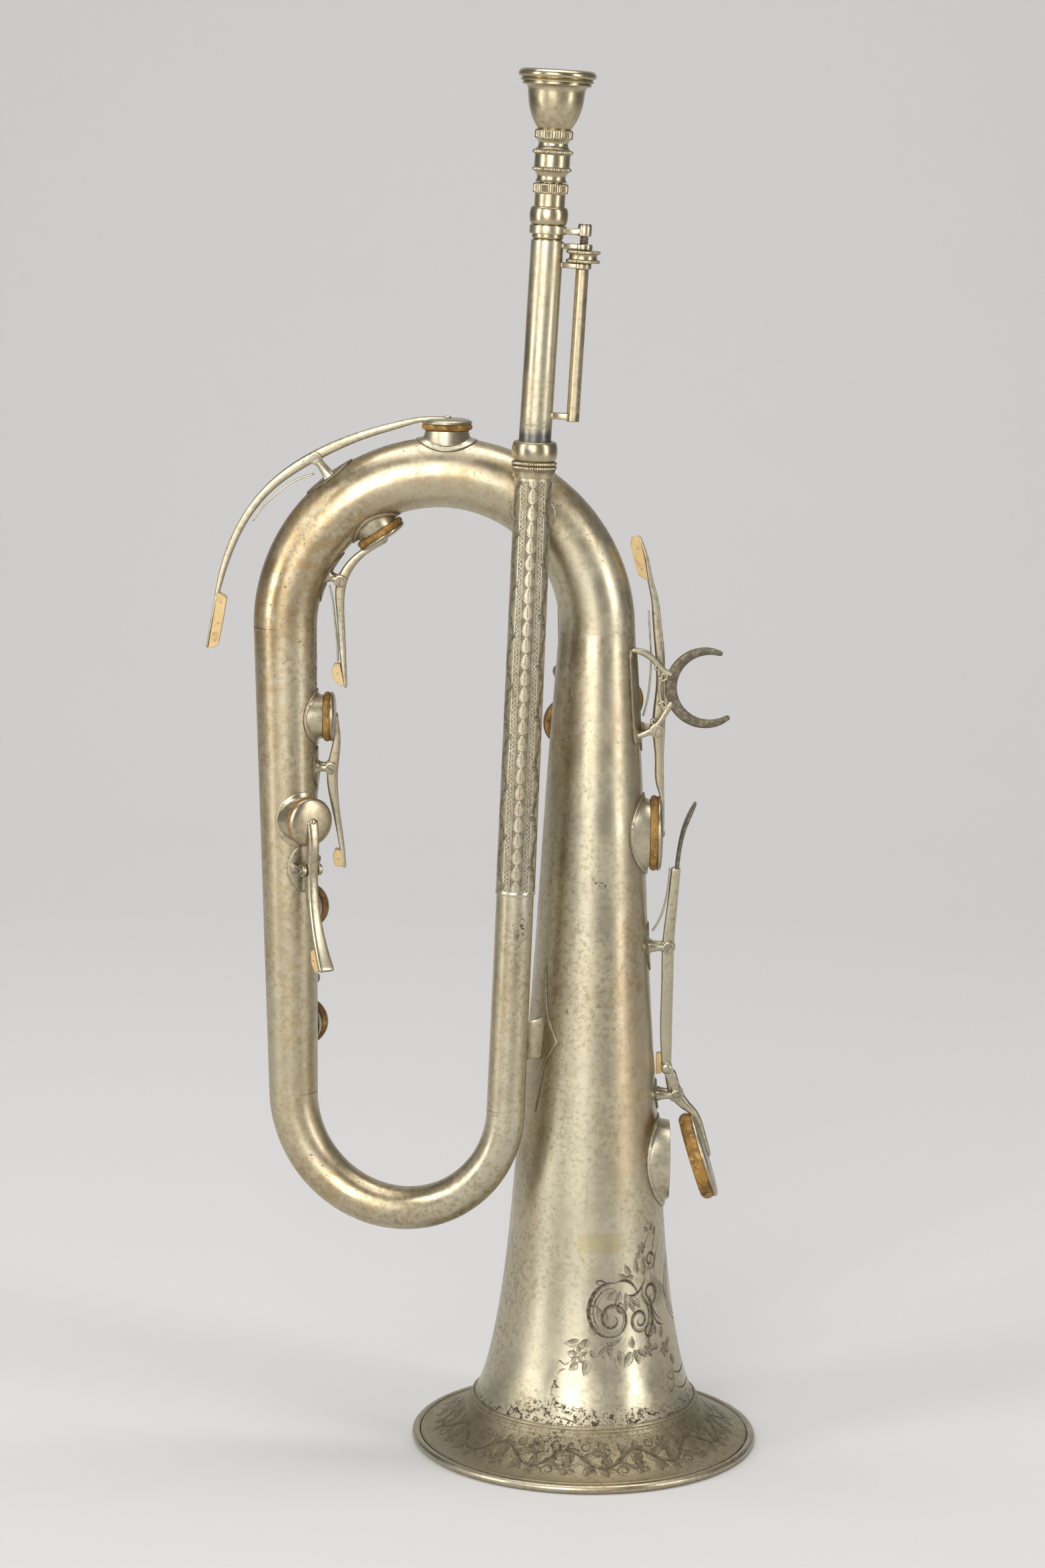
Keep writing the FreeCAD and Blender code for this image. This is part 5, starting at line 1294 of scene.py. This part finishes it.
def soldered_plate(tube, centre, aim, along, outline, thickness=0.5):
    """A thin plate of an outline laid on the tube, with a rounded edge."""
    across = Vector(aim).cross(along).normalized()
    rows = [(0.0, thickness), (0.3, thickness), (0.6, thickness), (0.85, thickness),
            (0.96, thickness * 0.92), (1.0, thickness * 0.55), (1.0, -0.2)]
    points = []
    for share, lift in rows:
        for x, y in outline * share:
            flat = Vector(centre) + Vector(along) * x + across * y
            points.append(tuple(drop(tube, flat, aim, lift)))
    return Shape(points, grid_faces(len(rows), len(outline)),
                 oxide=np.repeat([0, 0, 0, 0, 0.2, 0.8, 0.9], len(outline)))


LEVER_HALF, LUG_GAP, LUG_SHEET, PIN_R = 2.0, 0.3, 1.5, 0.9


def in_plane(key, flat, side=0.0):
    """A point of the key's plane, given as (out, height), moved sideways by side."""
    return key["plane"] @ Vector((flat[0], side, flat[1]))


def saddle(key, pivot, lug_aim, foot, point=0.0):
    """A foot plate with two tapering posts that end in round eyes for the pin."""
    aim = key["plane"].to_3x3() @ Vector((math.cos(lug_aim), 0, math.sin(lug_aim)))
    along = key["side"].cross(aim).normalized()
    centre = in_plane(key, pivot)
    shapes = [soldered_plate(key["tube"], centre, aim, along, leaf_outline(foot, point))]
    middle = LEVER_HALF + LUG_GAP + LUG_SHEET / 2
    for sign in (-1, 1):
        head = centre + key["side"] * sign * middle
        base = drop(key["tube"], head, aim, -0.2)
        length = (head - base).dot(aim)
        rows = [(0, 0, 2.9, 5.0), (0.8, 0, 2.5, 3.9), (length * 0.30, 0, 1.9, 2.9),
                (length * 0.62, 0, 1.6, 2.3), (length, 0, LUG_SHEET, 2.9)]
        frame_of = Matrix((aim, key["side"], along)).transposed().to_4x4()
        frame_of.translation = head - aim * length
        shapes.append(bar(rows, frame_of, 24, ring=20, power=2.3))
        shapes.append(disc(place_at(head, key["side"], aim), 2.1, LUG_SHEET / 2, 0.35, 36))
    return shapes


def slotted_head(place, radius, height, gap=0.34):
    """A domed screw head in two halves with a slot between them."""
    shapes = [turned([(0, 0), (radius, 0), (radius, height * 0.45), (0, height * 0.5)],
                     place, 32)]
    for sign in (1, -1):
        low = math.asin(gap / 2 / radius)
        arc = np.linspace(low, math.pi - low, 16)
        outline = [(radius * math.cos(a), sign * radius * math.sin(a)) for a in arc]
        if sign < 0:
            outline.reverse()
        shapes.append(prism(outline, height * 0.3, height, place, bevel=0.18))
    return shapes


def hinge_screw(key, pivot, turn=0.6):
    """A hinge screw: its shank, a slotted head on one side and a riveted end."""
    middle = LEVER_HALF + LUG_GAP + LUG_SHEET
    centre, side = in_plane(key, pivot), key["side"]
    spin = Matrix.Rotation(turn, 4, "Z")
    head = place_at(centre - side * middle, -side) @ spin
    tail = rounded([(0, -2 * middle - 0.45), (PIN_R, -2 * middle - 0.45), (PIN_R, 0.05)], 0.2)
    return [turned(tail, head, 24)] + slotted_head(head, 1.45, 0.8)


PLATE_POINT = {"key_4": 0.35, "key_1": 0.12, "key_2": 0.2}
for tube in ("top_bow", "left_branch", "bell"):
    mine = {name: key for name, key in ALL_KEYS.items() if key["tube"] == tube}
    add(tube + "_tone_chimneys",
        [chimney(key, 1.6 if name in ("key_6", "bell_key") else 0.6)
         for name, key in mine.items()],
        SILVER, stands_for=(tube + "_chimneys",), crease=50)
    seats = []
    for name, key in mine.items():
        seats += saddle(key, key["pivot"], key["lug_aim"], key["foot"],
                        PLATE_POINT.get(name, 0.0))
    if tube == "bell":
        seats += saddle(BELL_KEY, TOUCH_PIVOT, 0.0, TOUCH_FOOT)
    add(tube + "_saddle_posts", seats, SILVER_KEYS, stands_for=(tube + "_saddles",), crease=45)

screws = []
for index, key in enumerate(ALL_KEYS.values()):
    screws += hinge_screw(key, key["pivot"], 0.5 + index)
screws += hinge_screw(BELL_KEY, TOUCH_PIVOT, 0.9)
add("hinge_screws_slotted", screws, STEEL, stands_for=("hinge_screws",),
    crease=30)


# ------------------------------------------------------------ cups, pads, levers

PAD_GAP = 0.05


def cup_shape(key):
    """A dished sheet cup whose rim comes a little way down round the leather."""
    top, r = key["rise"] + PAD_GAP, key["pad"]
    line = [(0, top), (r - 0.3, top), (r - 0.1, top - 0.12), (r + 0.05, top - 0.16)]
    line += [(r + 0.2, top - 0.1), (r + 0.24, top + 0.1), (r + 0.16, top + 0.45),
             (r - 0.25, top + 0.85), (r - 0.9, top + 1.15), (r * 0.72, top + 1.45),
             (r * 0.40, top + 1.62), (0, top + 1.68)]
    cup = turned(line, key["hole"], 96)
    cup.values["oxide"] = np.repeat([0.9, 0.9, 0.8, 0.4] + [0.0] * (len(line) - 4), 96)
    return cup


def pad_shape(key, seed):
    """A leather disc stuffed with wool: puffy sides, wrinkles and a seat's mark."""
    low = PAD_GAP
    r, top = key["pad"] - 0.1, key["rise"] + PAD_GAP
    ring = key["chimney"] - 0.4
    thick = top - low
    bulge = min(0.42, thick * 0.2)
    line = [(0, low + 0.22), (ring * 0.5, low + 0.20), (ring - 0.7, low + 0.10),
            (ring, low + 0.16), (ring + 0.5, low + 0.05)]
    line += [(r - thick * 0.38 + (thick * 0.38 + bulge) * math.sin(a),
              low + thick * 0.5 - thick * 0.5 * math.cos(a))
             for a in np.linspace(0.15, math.pi * 0.62, 9)]
    line += [(r - 0.05, top - 0.30), (r - 0.25, top - 0.12), (r - 0.4, top), (0, top)]

    def wrinkle(h, a):
        sway = np.sin(a * 3 + seed) * 0.5 + np.sin(a * 11 + seed * 2) * 0.3 + \
            np.sin(a * 29 + seed * 5 + h * 2) * 0.2
        return 0.14 * sway * (h > low + 0.1), 0.0

    shape = turned(line, key["hole"], 120, wrinkle)
    local = moved(shape.points, key["hole"].inverted())
    out = np.hypot(local[:, 0], local[:, 1])
    shape.values["edge"] = np.clip((out - r + 0.5) / 1.2, 0, 1) * 0.35 + \
        0.3 * np.exp(-((out - ring) / 0.5) ** 2) * (local[:, 2] < low + 0.3)
    return shape


def rivet(place, radius, height):
    return turned([(radius, -0.3), (radius, 0.05), (radius * 0.8, height * 0.7),
                   (radius * 0.4, height), (0, height * 1.05)], place, 24)


for index, (name, key) in enumerate(KEYS.items()):
    arm = bar(key["path"], key["plane"], 70, 28, 5.0, crown=0.15)
    boss = disc(place_at(in_plane(key, key["pivot"]), key["side"]), 2.3, 1.9, 0.4, 36)
    dome = rivet(place_at(key["hole"] @ Vector((0, 0, key["rise"] + 1.7)), key["out"]), 1.5, 0.7)
    add(name + "_lever_bar", [arm, boss, cup_shape(key), dome], SILVER_KEYS, body=name,
        stands_for=(name + "_lever",))
    pad = pad_shape(key, seed=index * 1.7)
    if name == "key_6":
        local = moved(pad.points, key["hole"].inverted())
        spot = np.hypot((local[:, 0] - 0.5) / 1.9, (local[:, 2] - 1.2) / 1.3)
        pad.values["patch"] = np.clip((1.1 - spot) / 0.25, 0, 1) * (local[:, 1] < 0)
    leather = add(name + "_pad_leather", [pad], LEATHER, body=name,
                  stands_for=(name + "_pad",), crease=180)


# The bell key: a touch lever at the upper pivot drives the cup lever at the lower one.
SWING = Matrix.Translation(in_plane(BELL_KEY, BELL_KEY["pivot"])) @ \
    Matrix.Rotation(-OPEN, 4, Vector((0, 1, 0))) @ \
    Matrix.Translation(-in_plane(BELL_KEY, BELL_KEY["pivot"]))
LINK = (26.5, 133.6)
touch_rows = [(26.5, 134.6, 3.6, 3.2), (26.2, 142.0, 3.8, 3.9), (26.1, 155.0, 3.8, 4.1),
              (26.2, 166.0, 4.0, 4.1), (26.2, 176.1, 4.0, 4.1), (27.3, 190.0, 4.0, 3.5),
              (28.4, 203.2, 3.9, 3.1)]
spoon_rows = [(28.3, 198.0, 3.6, 1.6), (28.7, 203.3, 3.8, 1.5), (29.5, 210.5, 5.0, 1.4),
              (31.1, 217.8, 7.0, 1.4), (33.0, 222.6, 7.6, 1.3), (34.5, 225.8, 5.4, 0.9)]
touch = bar(touch_rows, BELL_KEY["plane"], 80, 28, 7.0, tips=BLUNT_END)
spoon = bar(spoon_rows, BELL_KEY["plane"], 50, 28, 4.0)
spoon.values["oxide"] = np.full(len(spoon.points), 0.80)
link_at = in_plane(BELL_KEY, LINK)
link_eye = disc(place_at(link_at, BELL_KEY["side"]), 2.0, 2, 0.35, 40)
pivot_boss = disc(place_at(in_plane(BELL_KEY, TOUCH_PIVOT), BELL_KEY["side"]), 2.5, 1.95, 0.4, 40)
add("bell_key_touch_bar", [touch, spoon, link_eye, pivot_boss], SILVER_KEYS,
    body="bell_key_touch", stands_for=("bell_key_touch_lever",), crease=32)

OPENED = dict(BELL_KEY, plane=SWING @ BELL_KEY["plane"], hole=SWING @ BELL_KEY["hole"])
cup_bar = bar(BELL_KEY["path"], OPENED["plane"], 60, 28, 4.0, crown=0.2)
cup_boss = disc(place_at(in_plane(OPENED, BELL_KEY["pivot"]), BELL_KEY["side"]), 2.7, 1.9,
                0.4, 40)
cup_dome = rivet(place_at(OPENED["hole"] @ Vector((0, 0, 6.3)), OPENED["hole"].to_3x3() @
                          Vector((0, 0, 1))), 1.8, 0.7)
cheeks = []
arm_foot = in_plane(BELL_KEY, BELL_KEY["pivot"])
for side in (-1, 1):
    cheeks.append(bar([(arm_foot.x - 0.8, arm_foot.z + 4.0, 1.2, 3.4),
                       ((arm_foot.x + link_at.x) / 2 - 0.2, 130.2, 1.2, 2.9),
                       (link_at.x, link_at.z, 1.2, 3.0)],
                      Matrix.Translation((0, side * 2.9, 0)), 20, 20, 6.0))
    cheeks.append(turned(rounded([(0, -0.6), (1.95, -0.6), (1.95, 0.7), (1.3, 1.15), (0, 1.3)],
                                 0.3), place_at(link_at + Vector((0, side * 2.9, 0)),
                                                (0, side, 0)), 40))
cheeks.append(bar([(arm_foot.x, arm_foot.z, 6.6, 3.4), (arm_foot.x - 0.9, arm_foot.z + 4.4, 6.8,
                                                        3.0)], Matrix(), 12, 24, 5.0))
add("bell_key_cup_bar", [cup_bar, cup_boss, cup_shape(OPENED), cup_dome] + cheeks, SILVER_KEYS,
    body="bell_key_cup", stands_for=("bell_key_cup_lever",))
big_pad = add("bell_key_pad_leather", [pad_shape(OPENED, seed=3.3)], LEATHER,
              body="bell_key_cup", stands_for=("bell_key_pad",), crease=180)


# ----------------------------------------------------------- ivory and springs

def corners_eased(points, radius=0.35):
    """A closed outline with each corner turned into a small fillet."""
    middle = [(a + b) / 2 for a, b in zip(points[-1], points[0])]
    return rounded([middle] + list(points) + [middle], radius)[:-1]


# Each block: its key, its outline in the key's plane, its width and its pins.
IVORY_BLOCKS = {
    "key_1_ivory": ("key_1", [(-128.3, 296.4), (-125.3, 294.6), (-126.4, 288.0),
                              (-128.2, 278.4), (-131.5, 277.2), (-129.9, 287.0)], 6.6,
                    [(-127.2, 293.2), (-128.2, 286.0), (-129.6, 282.6), (-129.2, 280.4)]),
    "key_2_ivory": ("key_2", [(-88.9, 272.4), (-87.0, 272.6), (-85.4, 265.4), (-86.5, 264.8),
                              (-89.5, 267.8), (-89.8, 270.6)], 5.2, [(-87.7, 269.4)]),
    "key_3_ivory": ("key_3", [(16.6, 208.6), (18.9, 208.2), (19.7, 202.6), (16.8, 202.9),
                              (15.9, 206.2)], 5.2, [(17.9, 205.4)]),
    "key_4_ivory": ("key_4", [(20.4, 176.6), (22.2, 177.4), (25.4, 170.8), (23.6, 169.6),
                              (21.0, 172.4)], 5.8, [(22.4, 173.6)]),
    "key_6_ivory": ("key_6", [(11.2, 316.8), (13.7, 317.2), (15.4, 310.6), (16.9, 302.3),
                              (13.4, 304.4), (10.8, 314.2)], 6.2,
                    [(13.1, 313.4), (14.6, 306.4)]),
    "bell_key_stop": ("bell_key", [(22.9, 138.4), (24.5, 138.6), (24.8, 131.6), (22.9, 131.2)],
                      3.6, []),
}
CARRIER = {name: body for body, names in frame["record"]["behaviour"]["bodies"].items()
           for name in names}
for name, (owner, outline, width, pins) in IVORY_BLOCKS.items():
    key = ALL_KEYS[owner]
    flat = key["plane"] @ Matrix.Rotation(math.pi / 2, 4, "X")
    add(name + "_block", [prism(corners_eased(outline), -width / 2, width / 2, flat, bevel=0.3)],
        IVORY, body=CARRIER[name], stands_for=(name,))
    pegs = [turned([(0, -0.3), (0.36, -0.3), (0.36, 0.04), (0, 0.08)],
                   place_at(key["plane"] @ Vector((x, side * width / 2, z)), key["side"] * side),
                   14) for x, z in pins for side in (-1, 1)]
    if pegs:
        add(name + "_pins", pegs, STEEL, body=CARRIER[name])

# Each leaf spring: its key, its line from the rivet on the lever to the tip on the saddle.
SPRING_PATHS = {
    "key_1_spring": ("key_1", [(-116.4, 320.9), (-113.3, 325.4), (-109.4, 329.2),
                               (-104.1, 333.4), (-100.0, 335.4), (-96.4, 336.6)]),
    "key_2_spring": ("key_2", [(-87.7, 273.6), (-88.0, 280.0), (-88.9, 288.0), (-89.6, 294.0),
                               (-90.6, 298.8)]),
    "key_6_spring": ("key_6", [(17.4, 291.5), (17.9, 284.5), (18.4, 276.5), (18.2, 268.0),
                               (17.2, 260.0), (16.2, 256.2)]),
    "bell_key_spring": ("bell_key", [(26.3, 203.0), (25.7, 196.0), (24.2, 188.6),
                                     (22.2, 183.6), (20.9, 181.7)]),
}
for name, (owner, path) in SPRING_PATHS.items():
    key = ALL_KEYS[owner]
    widths = np.linspace(3.4, 2.4, len(path))
    rows = [(x, z, width, 0.6) for (x, z), width in zip(path, widths)]
    leaf_piece = add(name + "_leaf", [bar(rows, key["plane"], 50, 20, 7)], SILVER_KEYS,
                     body=None, stands_for=(name,))
    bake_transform(leaf_piece)


# ------------------------------------------------------ finger crescent, braces

CRESCENT_AT, CRESCENT_R, CRESCENT_DEPTH = Vector((37.7, -6.5, 266.9)), 12.3, 2.6
upright = Matrix.Translation((0, CRESCENT_AT.y, 0))
hook_rows = []
for step in range(17):
    t = step / 16
    angle = math.radians(72 + (303 - 72) * t)
    wide = 1.7 + 2.3 * math.sin(math.pi * t) ** 0.8
    radius = CRESCENT_R + 0.25 * math.sin(math.pi * t)
    hook_rows.append((CRESCENT_AT.x + radius * math.cos(angle),
                      CRESCENT_AT.z + radius * math.sin(angle), CRESCENT_DEPTH, wide))
crescent = [bar(hook_rows, upright, 120, 28, 3.4)]
crescent[0].values["oxide"] = np.full(len(crescent[0].points), 0.85)


def curl(centre, radius, start, turns, wide=1.1, grow=0.35):
    """A flat scroll that ends an arm, winding in to its centre."""
    rows = []
    for step in range(22):
        t = step / 21
        angle = math.radians(start) + turns * TAU * t
        r = radius * (1 - t * (1 - grow))
        rows.append((centre[0] + r * math.cos(angle), centre[1] + r * math.sin(angle),
                     CRESCENT_DEPTH * 0.92, wide * (1 - 0.3 * t)))
    return bar(rows, upright, 60, 20, 3.4)


crescent += [
    bar([(12.2, 279.2, 2.6, 1.6), (15.5, 278.6, 2.5, 2.3), (19.4, 275.8, 2.5, 2.0),
         (22.2, 272.8, 2.5, 1.9), (25.8, 271.0, 2.6, 2.4)], upright, 50, 24, 3.2),
    bar([(13.4, 249.8, 2.6, 1.6), (16.5, 250.8, 2.5, 2.2), (20.4, 253.6, 2.5, 2.0),
         (23.4, 258.0, 2.5, 2.1), (26.0, 262.4, 2.6, 2.6)], upright, 50, 24, 3.2),
    curl((22.6, 270.6), 1.6, 200, 0.9), curl((20.6, 273.4), 1.3, 20, 0.8, 0.9),
    curl((22.6, 260.6), 1.5, 160, -0.9), curl((19.6, 255.2), 1.2, -30, -0.8, 0.9),
    bar([(22.6, 272.4, 2.3, 1.3), (21.2, 266.8, 2.2, 1.0), (22.6, 259.4, 2.3, 1.3)], upright,
        30, 20, 3.2)]
boss_at = Vector((20.4, CRESCENT_AT.y, 252.0))
crescent.append(turned(rounded([(0, -1.5), (2.4, -1.5), (2.4, 1.3), (0, 1.3)], 0.4),
                       place_at(boss_at, (0, -1, 0)), 36))
crescent += slotted_head(place_at(boss_at - Vector((0, 1.2, 0)), (0, -1, 0)) @
                         Matrix.Rotation(1.2, 4, "Z"), 1.5, 0.5)
add("finger_crescent_cast", crescent, SILVER_KEYS, stands_for=("finger_crescent",), crease=40)


def strip_outline(half_length, half_width, count=72):
    """A long plate with rounded corners."""
    angle = np.arange(count) / count * TAU
    return np.stack([half_length * squared(np.cos(angle), 0.3),
                     half_width * squared(np.sin(angle), 0.3)], 1)


plate_at = drop("bell", Vector((16, -8.6, 263.6)), Vector((0.8, -0.6, 0)).normalized(), 0)
add("crescent_plate_soldered",
    [soldered_plate("bell", plate_at, Vector((0.84, -0.54, 0.05)).normalized(),
                    Vector((-0.04, 0, 1)).normalized(), strip_outline(16.4, 2.9), 0.9)],
    SILVER_KEYS, stands_for=("crescent_plate",), crease=50)

LOW_BRACE_Z = 146.0
pipe_at = PIPE_LOW.lerp(PIPE_TOP, (LOW_BRACE_Z - PIPE_LOW.z) / (PIPE_TOP.z - PIPE_LOW.z))
to_bell = Vector((-pipe_at.x, -pipe_at.y, 0)).normalized()


def lozenge(half_width, half_height, count=12):
    """A four-cornered plate with slightly hollow sides."""
    corners = [(half_height, 0), (0, half_width), (-half_height, 0), (0, -half_width)]
    line = []
    for a, b in zip(corners, corners[1:] + corners[:1]):
        for i in range(count):
            t = i / count
            pull = 1 - 0.28 * math.sin(math.pi * t)
            line.append(((a[0] + (b[0] - a[0]) * t) * pull, (a[1] + (b[1] - a[1]) * t) * pull))
    return np.array(line)


bell_foot = Vector((0, 0, LOW_BRACE_Z)) - to_bell * 22
brace_plane = Matrix((to_bell, to_bell.cross(UP), UP)).transposed().to_4x4()
brace_plane.translation = pipe_at
span = (bell_foot - pipe_at).length
add("lower_brace_forged",
    [soldered_plate("bell", bell_foot, -to_bell, UP, lozenge(7.6, 25.6)),
     soldered_plate("mouthpipe", pipe_at + to_bell * 6.2, to_bell, PIPE_RUN,
                    lozenge(4.3, 11.5)),
     bar([(5.6, 0.2, 2.4, 14.8), (span * 0.5, 0.2, 1.3, 14.0), (span + 0.6, 0.2, 2.6, 15.0)],
         brace_plane, 30, 28, 5)],
    SILVER_KEYS, stands_for=("lower_brace",), crease=45)

BOW_BRACE, AHEAD = Vector((-22.3, -8.0, 325.8)), Vector((0, -1, 0))
bow_along = Vector((1, 0, -0.3)).normalized()
post_plane = Matrix((AHEAD, Vector((1, 0, 0)), UP)).transposed().to_4x4()
post_plane.translation = BOW_BRACE
add("upper_brace_forged",
    [soldered_plate("top_bow", BOW_BRACE, AHEAD, bow_along, leaf_outline((7.9, 6.4))),
     bar([(1.0, 0, 5.4, 5.4), (4.5, 0, 4.4, 4.4), (7.6, 0, 5.0, 5.0)], post_plane, 12, 28, 2)],
    SILVER_KEYS, stands_for=("upper_brace",), crease=45)


# ---------------------------------------------------------- camera, floor, lights

def look(obj, at, target):
    obj.location = Vector(at)
    obj.rotation_mode = "QUATERNION"
    obj.rotation_quaternion = (Vector(target) - Vector(at)).to_track_quat("-Z", "Y")


camera = in_scene("camera", bpy.data.cameras.new("camera"))
camera.data.sensor_fit = "AUTO"
camera.data.sensor_width = 36.0
camera.data.lens = 88.87
camera.data.clip_end = 50.0
PITCH, ROLL = math.radians(9.87), math.radians(0.8)
camera.rotation_mode = "XYZ"
camera.location = (-0.02453, -1.300, 0.458)
facing = Matrix.Rotation(math.pi / 2 - PITCH, 4, "X") @ Matrix.Rotation(ROLL, 4, "Z")
camera.rotation_euler = facing.to_euler()
bpy.context.scene.camera = camera

# A paper sweep in metres: flat floor, a quarter turn upwards, then a wall.
FLOOR_BACK, SWEEP_R, HALF_WIDTH = 0.9, 1.6, 1.6
backdrop = bpy.data.meshes.new("backdrop")
line = [(y, 0.0) for y in (-3.0, -1.5, -0.5, 0.3, FLOOR_BACK)]
line += [(FLOOR_BACK + SWEEP_R * math.sin(a), SWEEP_R - SWEEP_R * math.cos(a))
         for a in np.linspace(0.1, 1.5, 14)]
line += [(FLOOR_BACK + SWEEP_R, 4.5)]
backdrop.from_pydata([(x, y, z) for y, z in line for x in (-HALF_WIDTH, HALF_WIDTH)], [],
                     [(2 * i, 2 * i + 1, 2 * i + 3, 2 * i + 2) for i in range(len(line) - 1)])
backdrop.shade_smooth()
sweep = in_scene("backdrop", backdrop)
paper = Paint("backdrop_paper", specular=0.1)
paper.set("Base Color", paper.mix(paper.noise(3, 2), colour(0.60, 0.595, 0.59),
                                  colour(0.61, 0.605, 0.60)))
paper.set("Roughness", 0.9)
backdrop.materials.append(paper.material)

LIGHTS = (
    # name, place, target, width, height, watts, colour
    ("left_strip", (-1.55, -0.75, 0.75), (0, 0, 0.24), 0.40, 1.5, 14, (1.0, 0.985, 0.955)),
    ("right_strip", (1.45, -0.85, 0.70), (0, 0, 0.22), 0.35, 1.4, 11, (1.0, 0.985, 0.96)),
    ("front_left", (-0.45, -1.75, 0.85), (0, 0, 0.22), 1.0, 1.3, 24, (1.0, 0.985, 0.955)),
    ("overhead", (0, 0.0, 1.9), (0, 0, 0.2), 1.6, 1.2, 15, (1.0, 0.99, 0.98)),
    ("back_wash", (0, 0.3, 2.4), (0, 2.6, 0.9), 2.4, 0.6, 30, (1.0, 1.0, 1.0)),
)
for name, at, target, width, height, watts, tint in LIGHTS:
    data = bpy.data.lights.new(name, "AREA")
    data.shape, data.size, data.size_y = "RECTANGLE", width, height
    data.energy, data.color = watts, tint
    lamp = in_scene(name, data)
    look(lamp, at, target)

world = bpy.data.worlds.new("studio")
world.use_nodes = True
world.node_tree.nodes["Background"].inputs[0].default_value = (0.80, 0.80, 0.81, 1)
world.node_tree.nodes["Background"].inputs[1].default_value = 0.22
bpy.context.scene.world = world
bpy.context.scene.view_settings.view_transform = "Standard"
